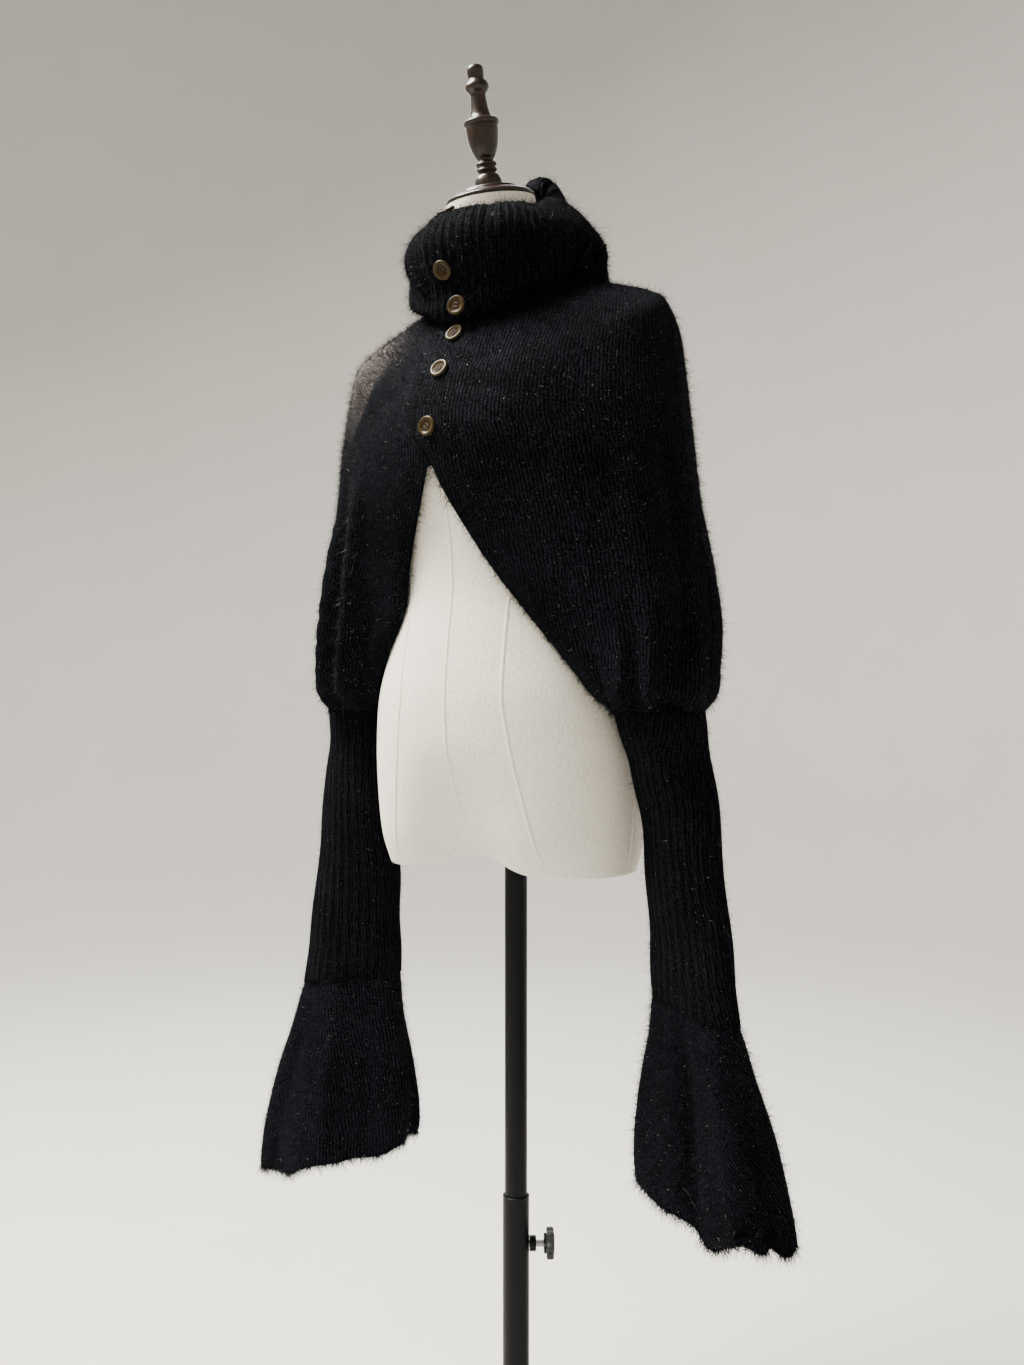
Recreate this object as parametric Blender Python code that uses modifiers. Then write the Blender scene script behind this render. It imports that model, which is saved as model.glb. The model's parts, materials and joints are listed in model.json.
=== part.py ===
"""A knitted mohair cape on a limbless dress form that stands on a telescopic pole. Metres, +Z up.

The origin is the centre of the base plate's underside. The front faces -Y, and +X is the wearer's left.
Cloth is a closed wall: an outer grid of points worked out from a few rows, and an inner grid one wall inside.
"""

import math
from collections import namedtuple

import bmesh
import bpy
from mathutils import Matrix, Vector
from mathutils.bvhtree import BVHTree

# Driving dimensions of the cloth
KNIT_WALL = 0.003
RIB_WALL = 0.0036
RIB_RAISE = 0.0014
SEAM_GAP = 0.0003
CLEAR_OF_FORM = 0.0027
CLEAR_OF_CLOTH = 0.0016
FRONT_LAP = 0.018
LAP_LIFT = KNIT_WALL + 0.0009
LAP_FADE = (0.030, 0.085)
COLLAR_LAP = 0.060
COLLAR_LAP_LIFT = RIB_WALL + RIB_RAISE + 0.0008
COLLAR_LAP_RISE = (0.70, 0.90)
COLLAR_RIBS = 31
CUFF_RIBS = 27
GATHER_DEPTH = 0.0045
GATHERS_FRONT = 3
GATHERS_BACK = 3

# Driving dimensions of the form and its stand
FORM_STEPS = 32
FORM_FLOOR_RINGS = (0.35, 0.72, 0.94)
FORM_ARCH = 0.018
FORM_ARCH_HEIGHT = 0.084
FORM_ARCH_HALF_WIDTH = 0.055
FORM_CLEFT = 0.034
FORM_CLEFT_HEIGHT = 0.149
NECK_LEAN = math.radians(12.5)
NECK_TOP = Vector((0.0, -0.0495, 1.5455))
POLE_RADIUS = 0.0127
POLE_WALL = 0.0016
POLE_BOTTOM = 0.170
POLE_TOP = 0.930
TUBE_RADIUS = 0.0150
TUBE_WALL = 0.0017
TUBE_TOP = 0.441
BORE_CLEARANCE = 0.0005
BASE_RADIUS = 0.200
BASE_THICKNESS = 0.012
HUB_RADIUS = 0.023
HUB_HEIGHT = 0.034
CLAMP_HEIGHT = 0.3855
CLAMP_AZIMUTH = math.radians(34.0)
BOSS_RADIUS = 0.0085
BOSS_LENGTH = 0.0075
SCREW_RADIUS = 0.0040
SCREW_SHOWN = 0.009
KNOB_RADIUS = 0.0172
KNOB_LOBE = 0.0016
KNOB_LOBES = 6
KNOB_THICKNESS = 0.012
BUTTON_RADIUS = 0.0105
BUTTON_THICKNESS = 0.0036
BUTTON_SEAT = 0.0007
BUTTON_STEPS = 12

ROUND_STEPS = 24

# The dress form, from its lower edge to the top of the neck: one level section a row
FormRow = namedtuple("FormRow", "z half_width front back square lean")
FORM_ROWS = (
    FormRow(0.816, 0.148, 0.106, 0.084, 2.30, 0.0),
    FormRow(0.850, 0.155, 0.119, 0.095, 2.30, 0.0),
    FormRow(0.900, 0.158, 0.126, 0.100, 2.30, 0.0),
    FormRow(0.950, 0.157, 0.131, 0.097, 2.25, 0.0),
    FormRow(1.005, 0.149, 0.1335, 0.084, 2.20, 0.0),
    FormRow(1.060, 0.131, 0.128, 0.067, 2.15, 0.0),
    FormRow(1.115, 0.115, 0.1205, 0.055, 2.10, 0.0),
    FormRow(1.165, 0.118, 0.1235, 0.060, 2.15, 0.0),
    FormRow(1.220, 0.129, 0.1355, 0.075, 2.30, 0.0),
    FormRow(1.275, 0.141, 0.1490, 0.086, 2.45, 0.0),
    FormRow(1.315, 0.156, 0.1420, 0.091, 2.35, 0.0),
    FormRow(1.350, 0.174, 0.1220, 0.091, 2.20, 0.0),
    FormRow(1.382, 0.186, 0.1000, 0.083, 2.05, 0.0),
    FormRow(1.400, 0.185, 0.0880, 0.075, 1.95, 0.0),
    FormRow(1.412, 0.173, 0.0810, 0.067, 1.90, 0.0),
    FormRow(1.424, 0.144, 0.0770, 0.056, 1.90, 0.0),
    FormRow(1.436, 0.103, 0.0755, 0.045, 1.90, 1.0),
    FormRow(1.450, 0.070, 0.0765, 0.037, 1.95, 3.0),
    FormRow(1.468, 0.058, 0.0805, 0.031, 2.00, 6.0),
    FormRow(1.505, 0.0535, 0.0900, 0.016, 2.00, 10.0),
    FormRow(1.5455, 0.0485, 0.0980, -0.001, 2.00, 12.5),
)

# The cape's rings from the neckline to the cuff seam, wearer's left side, outer face.
# Over the arm: the ring's outermost point, how far it runs forward and back, and its dip in that run
ArmRow = namedtuple("ArmRow", "x y z forward rearward dip")
ARM_ROWS = (
    ArmRow(0.0760, -0.020, 1.4590, 0.044, 0.042, 0.012),
    ArmRow(0.1300, -0.017, 1.4420, 0.048, 0.050, 0.024),
    ArmRow(0.1830, -0.015, 1.4225, 0.052, 0.056, 0.026),
    ArmRow(0.1990, -0.016, 1.4040, 0.056, 0.060, 0.020),
    ArmRow(0.2060, -0.018, 1.3520, 0.062, 0.062, 0.008),
    ArmRow(0.2130, -0.020, 1.2950, 0.066, 0.062, 0.000),
    ArmRow(0.2250, -0.022, 1.2200, 0.062, 0.062, 0.000),
    ArmRow(0.2440, -0.025, 1.1400, 0.056, 0.060, 0.000),
    ArmRow(0.2540, -0.029, 1.0750, 0.052, 0.058, 0.000),
    ArmRow(0.2535, -0.037, 1.0220, 0.050, 0.054, 0.000),
    ArmRow(0.2500, -0.045, 0.9880, 0.050, 0.050, 0.000),
)
SLEEVE_SHIFT = {"left": Vector((0.0, 0.0, 0.0)), "right": Vector((0.001, 0.022, 0.0))}

# The front edge of each front, down the centre front and then out to the cuff.
# turn is the ring's direction there: 0 degrees runs outwards, 90 degrees runs forward round the cuff
EdgeRow = namedtuple("EdgeRow", "x y z turn")
BUTTONED_EDGE = (
    EdgeRow(0.0, -0.1010, 1.4080, 0.0),
    EdgeRow(0.0, -0.1155, 1.3830, 0.0),
    EdgeRow(0.0, -0.1340, 1.3500, 0.0),
    EdgeRow(0.0, -0.1420, 1.3340, 0.0),
    EdgeRow(0.0, -0.1535, 1.3030, 0.0),
    EdgeRow(0.0, -0.1570, 1.2700, 0.0),
)
OPEN_EDGE = {
    "left": (
        EdgeRow(0.0060, -0.1480, 1.2250, 0.0),
        EdgeRow(0.0450, -0.1240, 1.1460, 4.0),
        EdgeRow(0.0960, -0.1010, 1.0740, 14.0),
        EdgeRow(0.1360, -0.0820, 1.0210, 40.0),
        EdgeRow(0.1545, -0.0480, 0.9880, 90.0),
    ),
    "right": (
        EdgeRow(0.0170, -0.1470, 1.2250, 0.0),
        EdgeRow(0.0590, -0.1210, 1.1460, 4.0),
        EdgeRow(0.0820, -0.1110, 1.0700, 14.0),
        EdgeRow(0.1240, -0.0900, 1.0170, 40.0),
        EdgeRow(0.1545, -0.0480, 0.9880, 90.0),
    ),
}
LAPPED_ROWS = 5.0
APEX_ROW = 5.85

# The back: the hollow between sleeve and body, which deepens to the cuff's inner end, and the centre back
BackRow = namedtuple("BackRow", "hollow_x hollow_y hollow_z turn centre_y centre_z")
BACK_ROWS = (
    BackRow(0.0540, 0.0340, 1.4590, 0.0, 0.0570, 1.4590),
    BackRow(0.0850, 0.0660, 1.4250, 0.0, 0.0850, 1.4230),
    BackRow(0.1150, 0.0830, 1.3850, 0.0, 0.1000, 1.3800),
    BackRow(0.1260, 0.0880, 1.3600, 0.0, 0.1040, 1.3560),
    BackRow(0.1350, 0.0920, 1.3150, 0.0, 0.1060, 1.3120),
    BackRow(0.1420, 0.0930, 1.2650, 0.0, 0.1050, 1.2640),
    BackRow(0.1500, 0.0920, 1.2000, 0.0, 0.1035, 1.2040),
    BackRow(0.1590, 0.0880, 1.1300, 0.0, 0.1030, 1.1410),
    BackRow(0.1640, 0.0760, 1.0720, 8.0, 0.1040, 1.0880),
    BackRow(0.1640, 0.0420, 1.0250, 40.0, 0.1050, 1.0450),
    BackRow(0.1600, -0.0380, 0.9880, 86.0, 0.1050, 1.0150),
)
HANDLE = 0.56
HOLLOW_OUT = 0.45
HOLLOW_IN = 0.40
CUFF_REACH = 0.050

# Each sleeve below the cuff seam, wearer's left: sections with the flat side turned forward,
# and slant the fall from the inner to the outer side for each metre across
SleeveRow = namedtuple("SleeveRow", "drop x y half_width half_depth turn slant")
CUFF_ROWS = (
    SleeveRow(0.000, 0.2035, -0.0450, 0.0465, 0.0375, 0.0, 0.00),
    SleeveRow(0.040, 0.2080, -0.0370, 0.0450, 0.0340, 4.0, 0.02),
    SleeveRow(0.100, 0.2145, -0.0260, 0.0465, 0.0285, 9.0, 0.05),
    SleeveRow(0.180, 0.2190, -0.0190, 0.0520, 0.0255, 14.0, 0.09),
    SleeveRow(0.260, 0.2250, -0.0180, 0.0580, 0.0240, 16.0, 0.13),
    SleeveRow(0.326, 0.2300, -0.0185, 0.0630, 0.0240, 17.0, 0.16),
)
BELL_ROWS = (
    SleeveRow(0.326, 0.2300, -0.0185, 0.0640, 0.0250, 17.0, 0.16),
    SleeveRow(0.375, 0.2345, -0.0190, 0.0720, 0.0310, 17.0, 0.17),
    SleeveRow(0.430, 0.2395, -0.0195, 0.0870, 0.0380, 16.0, 0.18),
    SleeveRow(0.490, 0.2440, -0.0205, 0.0990, 0.0440, 16.0, 0.20),
    SleeveRow(0.540, 0.2475, -0.0210, 0.1060, 0.0480, 15.0, 0.22),
)
SLEEVE_HANG = {"left": 0.91, "right": 1.0}
SLEEVE_TURN = {"left": 9.0, "right": 0.0}
SHIFT_ENDS = 0.14

# Frill waves: how many round the hem, their depth there, and where the first hollow lies
WaveRow = namedtuple("WaveRow", "waves depth first")
BELL_WAVES = {"left": WaveRow(5, 0.0115, 272.0), "right": WaveRow(6, 0.0080, 250.0)}
HEM_SCALLOPS = 11
HEM_SCALLOP_DEPTH = 0.0035
BELL_STEPS = 44

# The collar's path from the neckline seam to its rim, outwards and upwards from the seam
CollarRow = namedtuple("CollarRow", "front_out front_up side_out side_up back_out back_up")
COLLAR_ROWS = (
    CollarRow(-0.002, 0.0090, -0.001, 0.0070, -0.001, 0.0050),
    CollarRow(0.006, 0.0058, 0.010, 0.0050, 0.007, 0.0015),
    CollarRow(0.014, -0.0042, 0.020, 0.0020, 0.016, -0.0030),
    CollarRow(0.021, 0.000, 0.029, 0.0050, 0.026, 0.0050),
    CollarRow(0.020, 0.015, 0.031, 0.0170, 0.030, 0.0170),
    CollarRow(0.023, 0.031, 0.031, 0.0300, 0.030, 0.0300),
    CollarRow(0.034, 0.046, 0.029, 0.0430, 0.028, 0.0430),
    CollarRow(0.039, 0.067, 0.023, 0.0560, 0.021, 0.0570),
    CollarRow(0.031, 0.089, 0.010, 0.0690, 0.008, 0.0730),
    CollarRow(0.010, 0.103, -0.004, 0.0800, -0.006, 0.0920),
    CollarRow(-0.004, 0.099, -0.015, 0.0820, -0.012, 0.1080),
)
NAPE_LIP = 0.038
NAPE_LIP_CENTRE = 0.055
NAPE_LIP_HALF_ANGLE = math.radians(30.0)
NAPE_LIP_SQUARE = 3

# Buttons: where a line from the front crosses an upright plane on its way to the cloth, and its fall
BUTTON_PLANE = -0.11
BUTTON_APPROACH = 0.3
ButtonRow = namedtuple("ButtonRow", "x z fall")
BUTTON_ROWS = (
    ButtonRow(-0.012, 1.512, 42.0),
    ButtonRow(0.001, 1.447, 0.0),
    ButtonRow(0.012, 1.409, 0.0),
    ButtonRow(0.004, 1.383, 0.0),
    ButtonRow(0.002, 1.341, 0.0),
    ButtonRow(0.000, 1.279, 0.0),
)

# Turned profiles from the top down: radius and height above the neck's top
TurnedRow = namedtuple("TurnedRow", "radius height")
CAP_PROFILE = (
    TurnedRow(0.0, 0.0135),
    TurnedRow(0.0300, 0.0135),
    TurnedRow(0.0320, 0.0120),
    TurnedRow(0.0325, 0.0100),
    TurnedRow(0.0400, 0.0085),
    TurnedRow(0.0460, 0.0060),
    TurnedRow(0.0492, 0.0040),
    TurnedRow(0.0492, 0.0010),
    TurnedRow(0.0480, 0.0003),
    TurnedRow(0.0, 0.0003),
)
FINIAL_PROFILE = (
    TurnedRow(0.0, 0.1415),
    TurnedRow(0.0062, 0.1405),
    TurnedRow(0.0088, 0.1375),
    TurnedRow(0.0092, 0.1335),
    TurnedRow(0.0086, 0.1265),
    TurnedRow(0.0110, 0.1235),
    TurnedRow(0.0128, 0.1200),
    TurnedRow(0.0126, 0.1165),
    TurnedRow(0.0100, 0.1130),
    TurnedRow(0.0077, 0.1105),
    TurnedRow(0.0082, 0.1040),
    TurnedRow(0.0092, 0.0960),
    TurnedRow(0.0112, 0.0895),
    TurnedRow(0.0145, 0.0855),
    TurnedRow(0.0184, 0.0832),
    TurnedRow(0.0190, 0.0800),
    TurnedRow(0.0184, 0.0760),
    TurnedRow(0.0170, 0.0660),
    TurnedRow(0.0146, 0.0560),
    TurnedRow(0.0112, 0.0480),
    TurnedRow(0.0084, 0.0435),
    TurnedRow(0.0108, 0.0410),
    TurnedRow(0.0115, 0.0390),
    TurnedRow(0.0098, 0.0363),
    TurnedRow(0.0114, 0.0335),
    TurnedRow(0.0088, 0.0300),
    TurnedRow(0.0108, 0.0260),
    TurnedRow(0.0150, 0.0180),
    TurnedRow(0.0158, 0.0138),
    TurnedRow(0.0, 0.0138),
)
BUTTON_PROFILE = (
    TurnedRow(0.0, 0.60),
    TurnedRow(0.60, 0.60),
    TurnedRow(0.70, 0.92),
    TurnedRow(0.84, 1.00),
    TurnedRow(0.97, 0.80),
    TurnedRow(1.00, 0.45),
    TurnedRow(0.80, 0.00),
    TurnedRow(0.0, 0.00),
)


# Scene, materials and small helpers


def clear_scene():
    for old in list(bpy.data.objects):
        bpy.data.objects.remove(old, do_unlink=True)


def new_collection(name):
    collection = bpy.data.collections.new(name)
    bpy.context.scene.collection.children.link(collection)
    return collection


def new_material(name, hex_colour, roughness, metallic=0.0):
    channels = [int(hex_colour[i : i + 2], 16) / 255 for i in (1, 3, 5)]
    linear = [c / 12.92 if c <= 0.04045 else ((c + 0.055) / 1.055) ** 2.4 for c in channels]
    material = bpy.data.materials.new(name)
    material.use_nodes = True
    shader = material.node_tree.nodes["Principled BSDF"]
    shader.inputs["Base Color"].default_value = (*linear, 1.0)
    shader.inputs["Roughness"].default_value = roughness
    shader.inputs["Metallic"].default_value = metallic
    return material


def new_object(name, mesh, material, collection):
    obj = bpy.data.objects.new(name, mesh)
    collection.objects.link(obj)
    if material:
        mesh.materials.append(material)
    mesh.shade_smooth()
    mesh.set_sharp_from_angle(angle=math.radians(40))
    return obj


def mesh_from(name, shape):
    """The mesh of a bmesh, which is freed."""
    mesh = bpy.data.meshes.new(name)
    shape.to_mesh(mesh)
    shape.free()
    return mesh


def eased(rows, place):
    """A row of a table at a place between its rows, on a smooth curve through all of them."""
    index = min(max(int(place), 0), len(rows) - 2)
    part = place - index
    start, end = rows[index], rows[index + 1]
    before = rows[index - 1] if index else start
    after = rows[index + 2] if index + 2 < len(rows) else end
    values = []
    for a, b, c, d in zip(before, start, end, after):
        bend = (c - a, 2 * a - 5 * b + 4 * c - d, 3 * b - a - 3 * c + d)
        values.append(b + 0.5 * part * (bend[0] + part * (bend[1] + part * bend[2])))
    return type(start)(*values)


def ramp(value, start, end):
    """0 at start, 1 at end, with a soft change between them."""
    part = min(max((value - start) / (end - start), 0.0), 1.0)
    return part * part * (3 - 2 * part)


def bezier(start, start_handle, end_handle, end, part):
    rest = 1 - part
    return (
        start * rest**3
        + start_handle * (3 * rest * rest * part)
        + end_handle * (3 * rest * part * part)
        + end * part**3
    )


def mirrored(point):
    return Vector((-point.x, point.y, point.z))


# Walls and lofts


def grid_normals(grid, around):
    """The outward normal at each point of a grid, whose columns close on themselves where around is true."""
    rows, columns = len(grid), len(grid[0])
    normals = []
    for j in range(rows):
        line = []
        for i in range(columns):
            if around:
                across = grid[j][(i + 1) % columns] - grid[j][i - 1]
            else:
                across = grid[j][min(i + 1, columns - 1)] - grid[j][max(i - 1, 0)]
            along = grid[min(j + 1, rows - 1)][i] - grid[max(j - 1, 0)][i]
            line.append(across.cross(along).normalized())
        normals.append(line)
    return normals


def wall_mesh(name, outer, inner, around):
    """A closed wall between two grids of the same size, with flat rims along their open edges."""
    rows, columns = len(outer), len(outer[0])
    shape = bmesh.new()
    faces = [[[shape.verts.new(p) for p in line] for line in grid] for grid in (outer, inner)]
    out, into = faces
    last = columns if around else columns - 1
    for j in range(rows - 1):
        for i in range(last):
            k = (i + 1) % columns
            shape.faces.new((out[j][i], out[j + 1][i], out[j + 1][k], out[j][k]))
            shape.faces.new((into[j][i], into[j][k], into[j + 1][k], into[j + 1][i]))
    for i in range(last):
        k = (i + 1) % columns
        shape.faces.new((out[0][i], out[0][k], into[0][k], into[0][i]))
        shape.faces.new((out[-1][i], into[-1][i], into[-1][k], out[-1][k]))
    if not around:
        for j in range(rows - 1):
            shape.faces.new((out[j][0], into[j][0], into[j + 1][0], out[j + 1][0]))
            shape.faces.new((out[j][-1], out[j + 1][-1], into[j + 1][-1], into[j][-1]))
    bmesh.ops.recalc_face_normals(shape, faces=shape.faces)
    return mesh_from(name, shape)


def loft_mesh(name, rings):
    """A solid through closed rings of the same number of points, with a fan over each end."""
    shape = bmesh.new()
    lines = [[shape.verts.new(p) for p in ring] for ring in rings]
    count = len(rings[0])
    for lower, upper in zip(lines, lines[1:]):
        for i in range(count):
            k = (i + 1) % count
            shape.faces.new((lower[i], lower[k], upper[k], upper[i]))
    for ring in (lines[0], lines[-1]):
        middle = shape.verts.new(sum((v.co for v in ring), Vector()) / count)
        for i in range(count):
            shape.faces.new((ring[i], ring[(i + 1) % count], middle))
    bmesh.ops.recalc_face_normals(shape, faces=shape.faces)
    return mesh_from(name, shape)


def turned_object(name, profile, scale, material, collection, steps=ROUND_STEPS):
    """A turned piece: a profile from the top down, with a Screw modifier round its own Z axis."""
    radius_scale, height_scale = scale
    shape = bmesh.new()
    line = [shape.verts.new((r.radius * radius_scale, 0.0, r.height * height_scale)) for r in profile]
    for upper, lower in zip(line, line[1:]):
        shape.edges.new((upper, lower))
    obj = new_object(name, mesh_from(name, shape), material, collection)
    screw = obj.modifiers.new("Turn", "SCREW")
    screw.steps = steps
    screw.render_steps = steps
    screw.use_merge_vertices = True
    screw.merge_threshold = 0.00005
    screw.use_smooth_shade = True
    return obj


def cut_round(obj, name, radius, length, cutters):
    """Cuts a round hole in an object and returns the hidden cutter, still to be placed."""
    bpy.ops.mesh.primitive_cylinder_add(vertices=ROUND_STEPS, radius=radius, depth=length)
    cutter = bpy.context.object
    cutter.name = name
    cutter.hide_render = True
    cutter.display_type = "WIRE"
    for owner in list(cutter.users_collection):
        owner.objects.unlink(cutter)
    cutters.objects.link(cutter)
    cut = obj.modifiers.new(name, "BOOLEAN")
    cut.operation = "DIFFERENCE"
    cut.object = cutter
    return cutter


def aim_at(obj, place, direction):
    """Puts an object's origin at a place, with its own Z along a direction."""
    turn = direction.to_track_quat("Z", "Y").to_matrix().to_4x4()
    obj.matrix_world = Matrix.Translation(place) @ turn


def tree_of(mesh):
    """A search tree of a mesh, to find what lies near a point."""
    shape = bmesh.new()
    shape.from_mesh(mesh)
    bmesh.ops.triangulate(shape, faces=shape.faces)
    tree = BVHTree.FromBMesh(shape)
    shape.free()
    return tree


def move_clear(outer, inner, trees, clearance):
    """Moves each wall point with its partner until both lie at least the clearance outside the trees."""
    for j, line in enumerate(outer):
        for i in range(len(line)):
            for grid in (inner, outer):
                for tree in trees:
                    place, normal, _, distance = tree.find_nearest(grid[j][i], 0.05)
                    if place is None:
                        continue
                    outside = (grid[j][i] - place).dot(normal) >= 0
                    shift = clearance - (distance if outside else -distance)
                    if shift > 0:
                        inner[j][i] = inner[j][i] + normal * shift
                        outer[j][i] = outer[j][i] + normal * shift


# The dress form


def near_middle(x):
    """1 in the form's middle plane, falling away to both sides."""
    return math.exp(-((x / FORM_ARCH_HALF_WIDTH) ** 2))


def form_ring(row, shrink=1.0):
    """One section of the form: an even oval, flatter than an ellipse, leaning forward at the neck."""
    centre = (row.back - row.front) / 2
    half_depth = (row.back + row.front) / 2
    lowest = FORM_ROWS[0].z
    ring = []
    for i in range(FORM_STEPS):
        angle = 2 * math.pi * i / FORM_STEPS
        x = math.copysign(abs(math.cos(angle)) ** (2 / row.square), math.cos(angle)) * row.half_width
        y = math.copysign(abs(math.sin(angle)) ** (2 / row.square), math.sin(angle)) * half_depth
        cleft = FORM_CLEFT * near_middle(x) * ramp(row.z, lowest + FORM_CLEFT_HEIGHT, lowest)
        y -= math.copysign(min(cleft, abs(y)), y)
        x *= shrink
        y *= shrink
        rise = FORM_ARCH * near_middle(x) * ramp(row.z, lowest + FORM_ARCH_HEIGHT, lowest)
        ring.append(Vector((x, centre + y, row.z + rise + y * math.tan(math.radians(row.lean)))))
    return ring


def make_torso(material, collection, cutters):
    rings = [form_ring(FORM_ROWS[0], shrink) for shrink in FORM_FLOOR_RINGS]
    rings += [form_ring(row) for row in FORM_ROWS]
    obj = new_object("torso", loft_mesh("torso", rings), material, collection)
    bore_top = POLE_TOP + BORE_CLEARANCE
    bore_length = bore_top - FORM_ROWS[0].z + 2 * FORM_ARCH
    cutter = cut_round(obj, "pole_bore", POLE_RADIUS + BORE_CLEARANCE, bore_length, cutters)
    cutter.location = (0.0, 0.0, bore_top - bore_length / 2)
    return obj


def lean_with_neck(obj):
    obj.location = NECK_TOP
    obj.rotation_euler = (NECK_LEAN, 0.0, 0.0)


# The cape's body


def edge_rows(side):
    return BUTTONED_EDGE + OPEN_EDGE[side]


def sleeve_shift(side, place):
    """How far one sleeve hangs from its twin's mirror image, growing towards the cuff."""
    last = len(ARM_ROWS) - 1
    return SLEEVE_SHIFT[side] * ramp(place, last - 4, last)


def front_point(side, place, part):
    """A point of a front, as on the wearer's left: part 0 is over the arm, 1 the front edge, more the lap."""
    if part > 1.0001:
        return mirrored(front_point(side, place, 2 - part))
    arm = eased(ARM_ROWS, place)
    edge = eased(edge_rows(side), place)
    arm_point = Vector((arm.x, arm.y, arm.z)) + sleeve_shift(side, place)
    edge_point = Vector((edge.x, edge.y, edge.z)) + sleeve_shift(side, place)
    reach = HANDLE * (arm.x - edge.x)
    turn = math.radians(edge.turn)
    edge_handle = edge_point + Vector((reach * math.cos(turn), -reach * math.sin(turn), 0.0))
    arm_handle = arm_point + Vector((0.0, -arm.forward, -arm.dip))
    return bezier(arm_point, arm_handle, edge_handle, edge_point, part)


def back_point(side, place, part):
    """A point of the back, as on the wearer's left: part 0 is over the arm, 0.5 the hollow, 1 the centre."""
    arm = eased(ARM_ROWS, place)
    back = eased(BACK_ROWS, place)
    arm_point = Vector((arm.x, arm.y, arm.z)) + sleeve_shift(side, place)
    hollow = Vector((back.hollow_x, back.hollow_y, back.hollow_z)) + sleeve_shift(side, place)
    centre = Vector((0.0, back.centre_y, back.centre_z))
    turn = math.radians(back.turn)
    if part <= 0.5:
        turned = ramp(back.turn, 0, 90)
        reach = HOLLOW_OUT * (arm.x - back.hollow_x) * (1 - turned) + CUFF_REACH * turned
        handle = hollow + Vector((reach * math.cos(turn), reach * math.sin(turn), 0.0))
        arm_handle = arm_point + Vector((0.0, arm.rearward, -arm.dip))
        return bezier(arm_point, arm_handle, handle, hollow, part * 2)
    reach = HOLLOW_IN * back.hollow_x
    handle = hollow + Vector((-reach * math.cos(turn), reach * math.sin(turn), 0.0))
    centre_handle = centre + Vector((HANDLE * back.hollow_x, 0.0, 0.0))
    return bezier(hollow, handle, centre_handle, centre, part * 2 - 1)


def gather(place, part, count):
    """The outward swell of the cloth where it is drawn into the cuff."""
    last = len(ARM_ROWS) - 1
    strength = ramp(place, last - 2.6, last - 0.9) * ramp(place, last, last - 0.8)
    return GATHER_DEPTH * strength * math.cos(2 * math.pi * count * part)


def ring_speed(place):
    """How many metres of a front's ring one whole part takes, near the front edge."""
    return 3 * HANDLE * eased(ARM_ROWS, place).x


def lap_part(place):
    """How far past the centre front the front reaches, as a share of the ring."""
    return FRONT_LAP / ring_speed(place) * ramp(place, APEX_ROW, LAPPED_ROWS)


def level_rim(normals, row):
    """Makes one row of normals level, so that the rim there is a flat seam."""
    normals[row] = [Vector((n.x, n.y, 0.0)).normalized() for n in normals[row]]


def square_seam(normals, column):
    """Makes the normals along an over-arm seam square to the front-to-back line, so that both rims match."""
    for line in normals:
        line[column] = Vector((line[column].x, 0.0, line[column].z)).normalized()


def body_places():
    """The rings that the body's grids use: the table's rows and one between each pair."""
    return [i / 2 for i in range(2 * (len(ARM_ROWS) - 1) + 1)]


def make_front(side, material, collection, trees, columns=12):
    grid, swell = [], []
    sign = 1 if side == "left" else -1
    for place in body_places():
        arm = eased(ARM_ROWS, place)
        first = SEAM_GAP / 2 / (3 * arm.forward)
        far = 1 + lap_part(place)
        line, lifts = [], []
        for i in range(columns):
            part = first + (far - first) * i / (columns - 1)
            point = front_point(side, place, part)
            lift = gather(place, part, GATHERS_FRONT)
            if side == "left":
                from_edge = (far - part) * ring_speed(place)
                near_edge = ramp(from_edge, LAP_FADE[1], LAP_FADE[0])
                lift += LAP_LIFT * near_edge * ramp(place, APEX_ROW + 1, APEX_ROW)
            line.append(point if sign > 0 else mirrored(point))
            lifts.append(lift)
        grid.append(line)
        swell.append(lifts)
    normals = grid_normals(grid, around=False)
    square_seam(normals, 0)
    level_rim(normals, -1)
    outer, inner = [], []
    for line, across, lifts in zip(grid, normals, swell):
        outer.append([p + n * (sign * s) for p, n, s in zip(line, across, lifts)])
        inner.append([p + n * (sign * (s - KNIT_WALL)) for p, n, s in zip(line, across, lifts)])
    move_clear(outer, inner, trees, CLEAR_OF_FORM)
    name = f"front_{side}"
    return new_object(name, wall_mesh(name, outer, inner, around=False), material, collection)


def back_half(side, face, columns):
    """The lines of one half of the back, which end half a seam gap short of the centre back."""
    sign, centre = (1, -1) if side == "left" else (-1, 0)
    half = [line[:columns] if side == "left" else line[columns - 1 :] for line in face]
    for line in half:
        line[centre] = line[centre] + Vector((sign * SEAM_GAP / 2, 0.0, 0.0))
    return half


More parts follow.
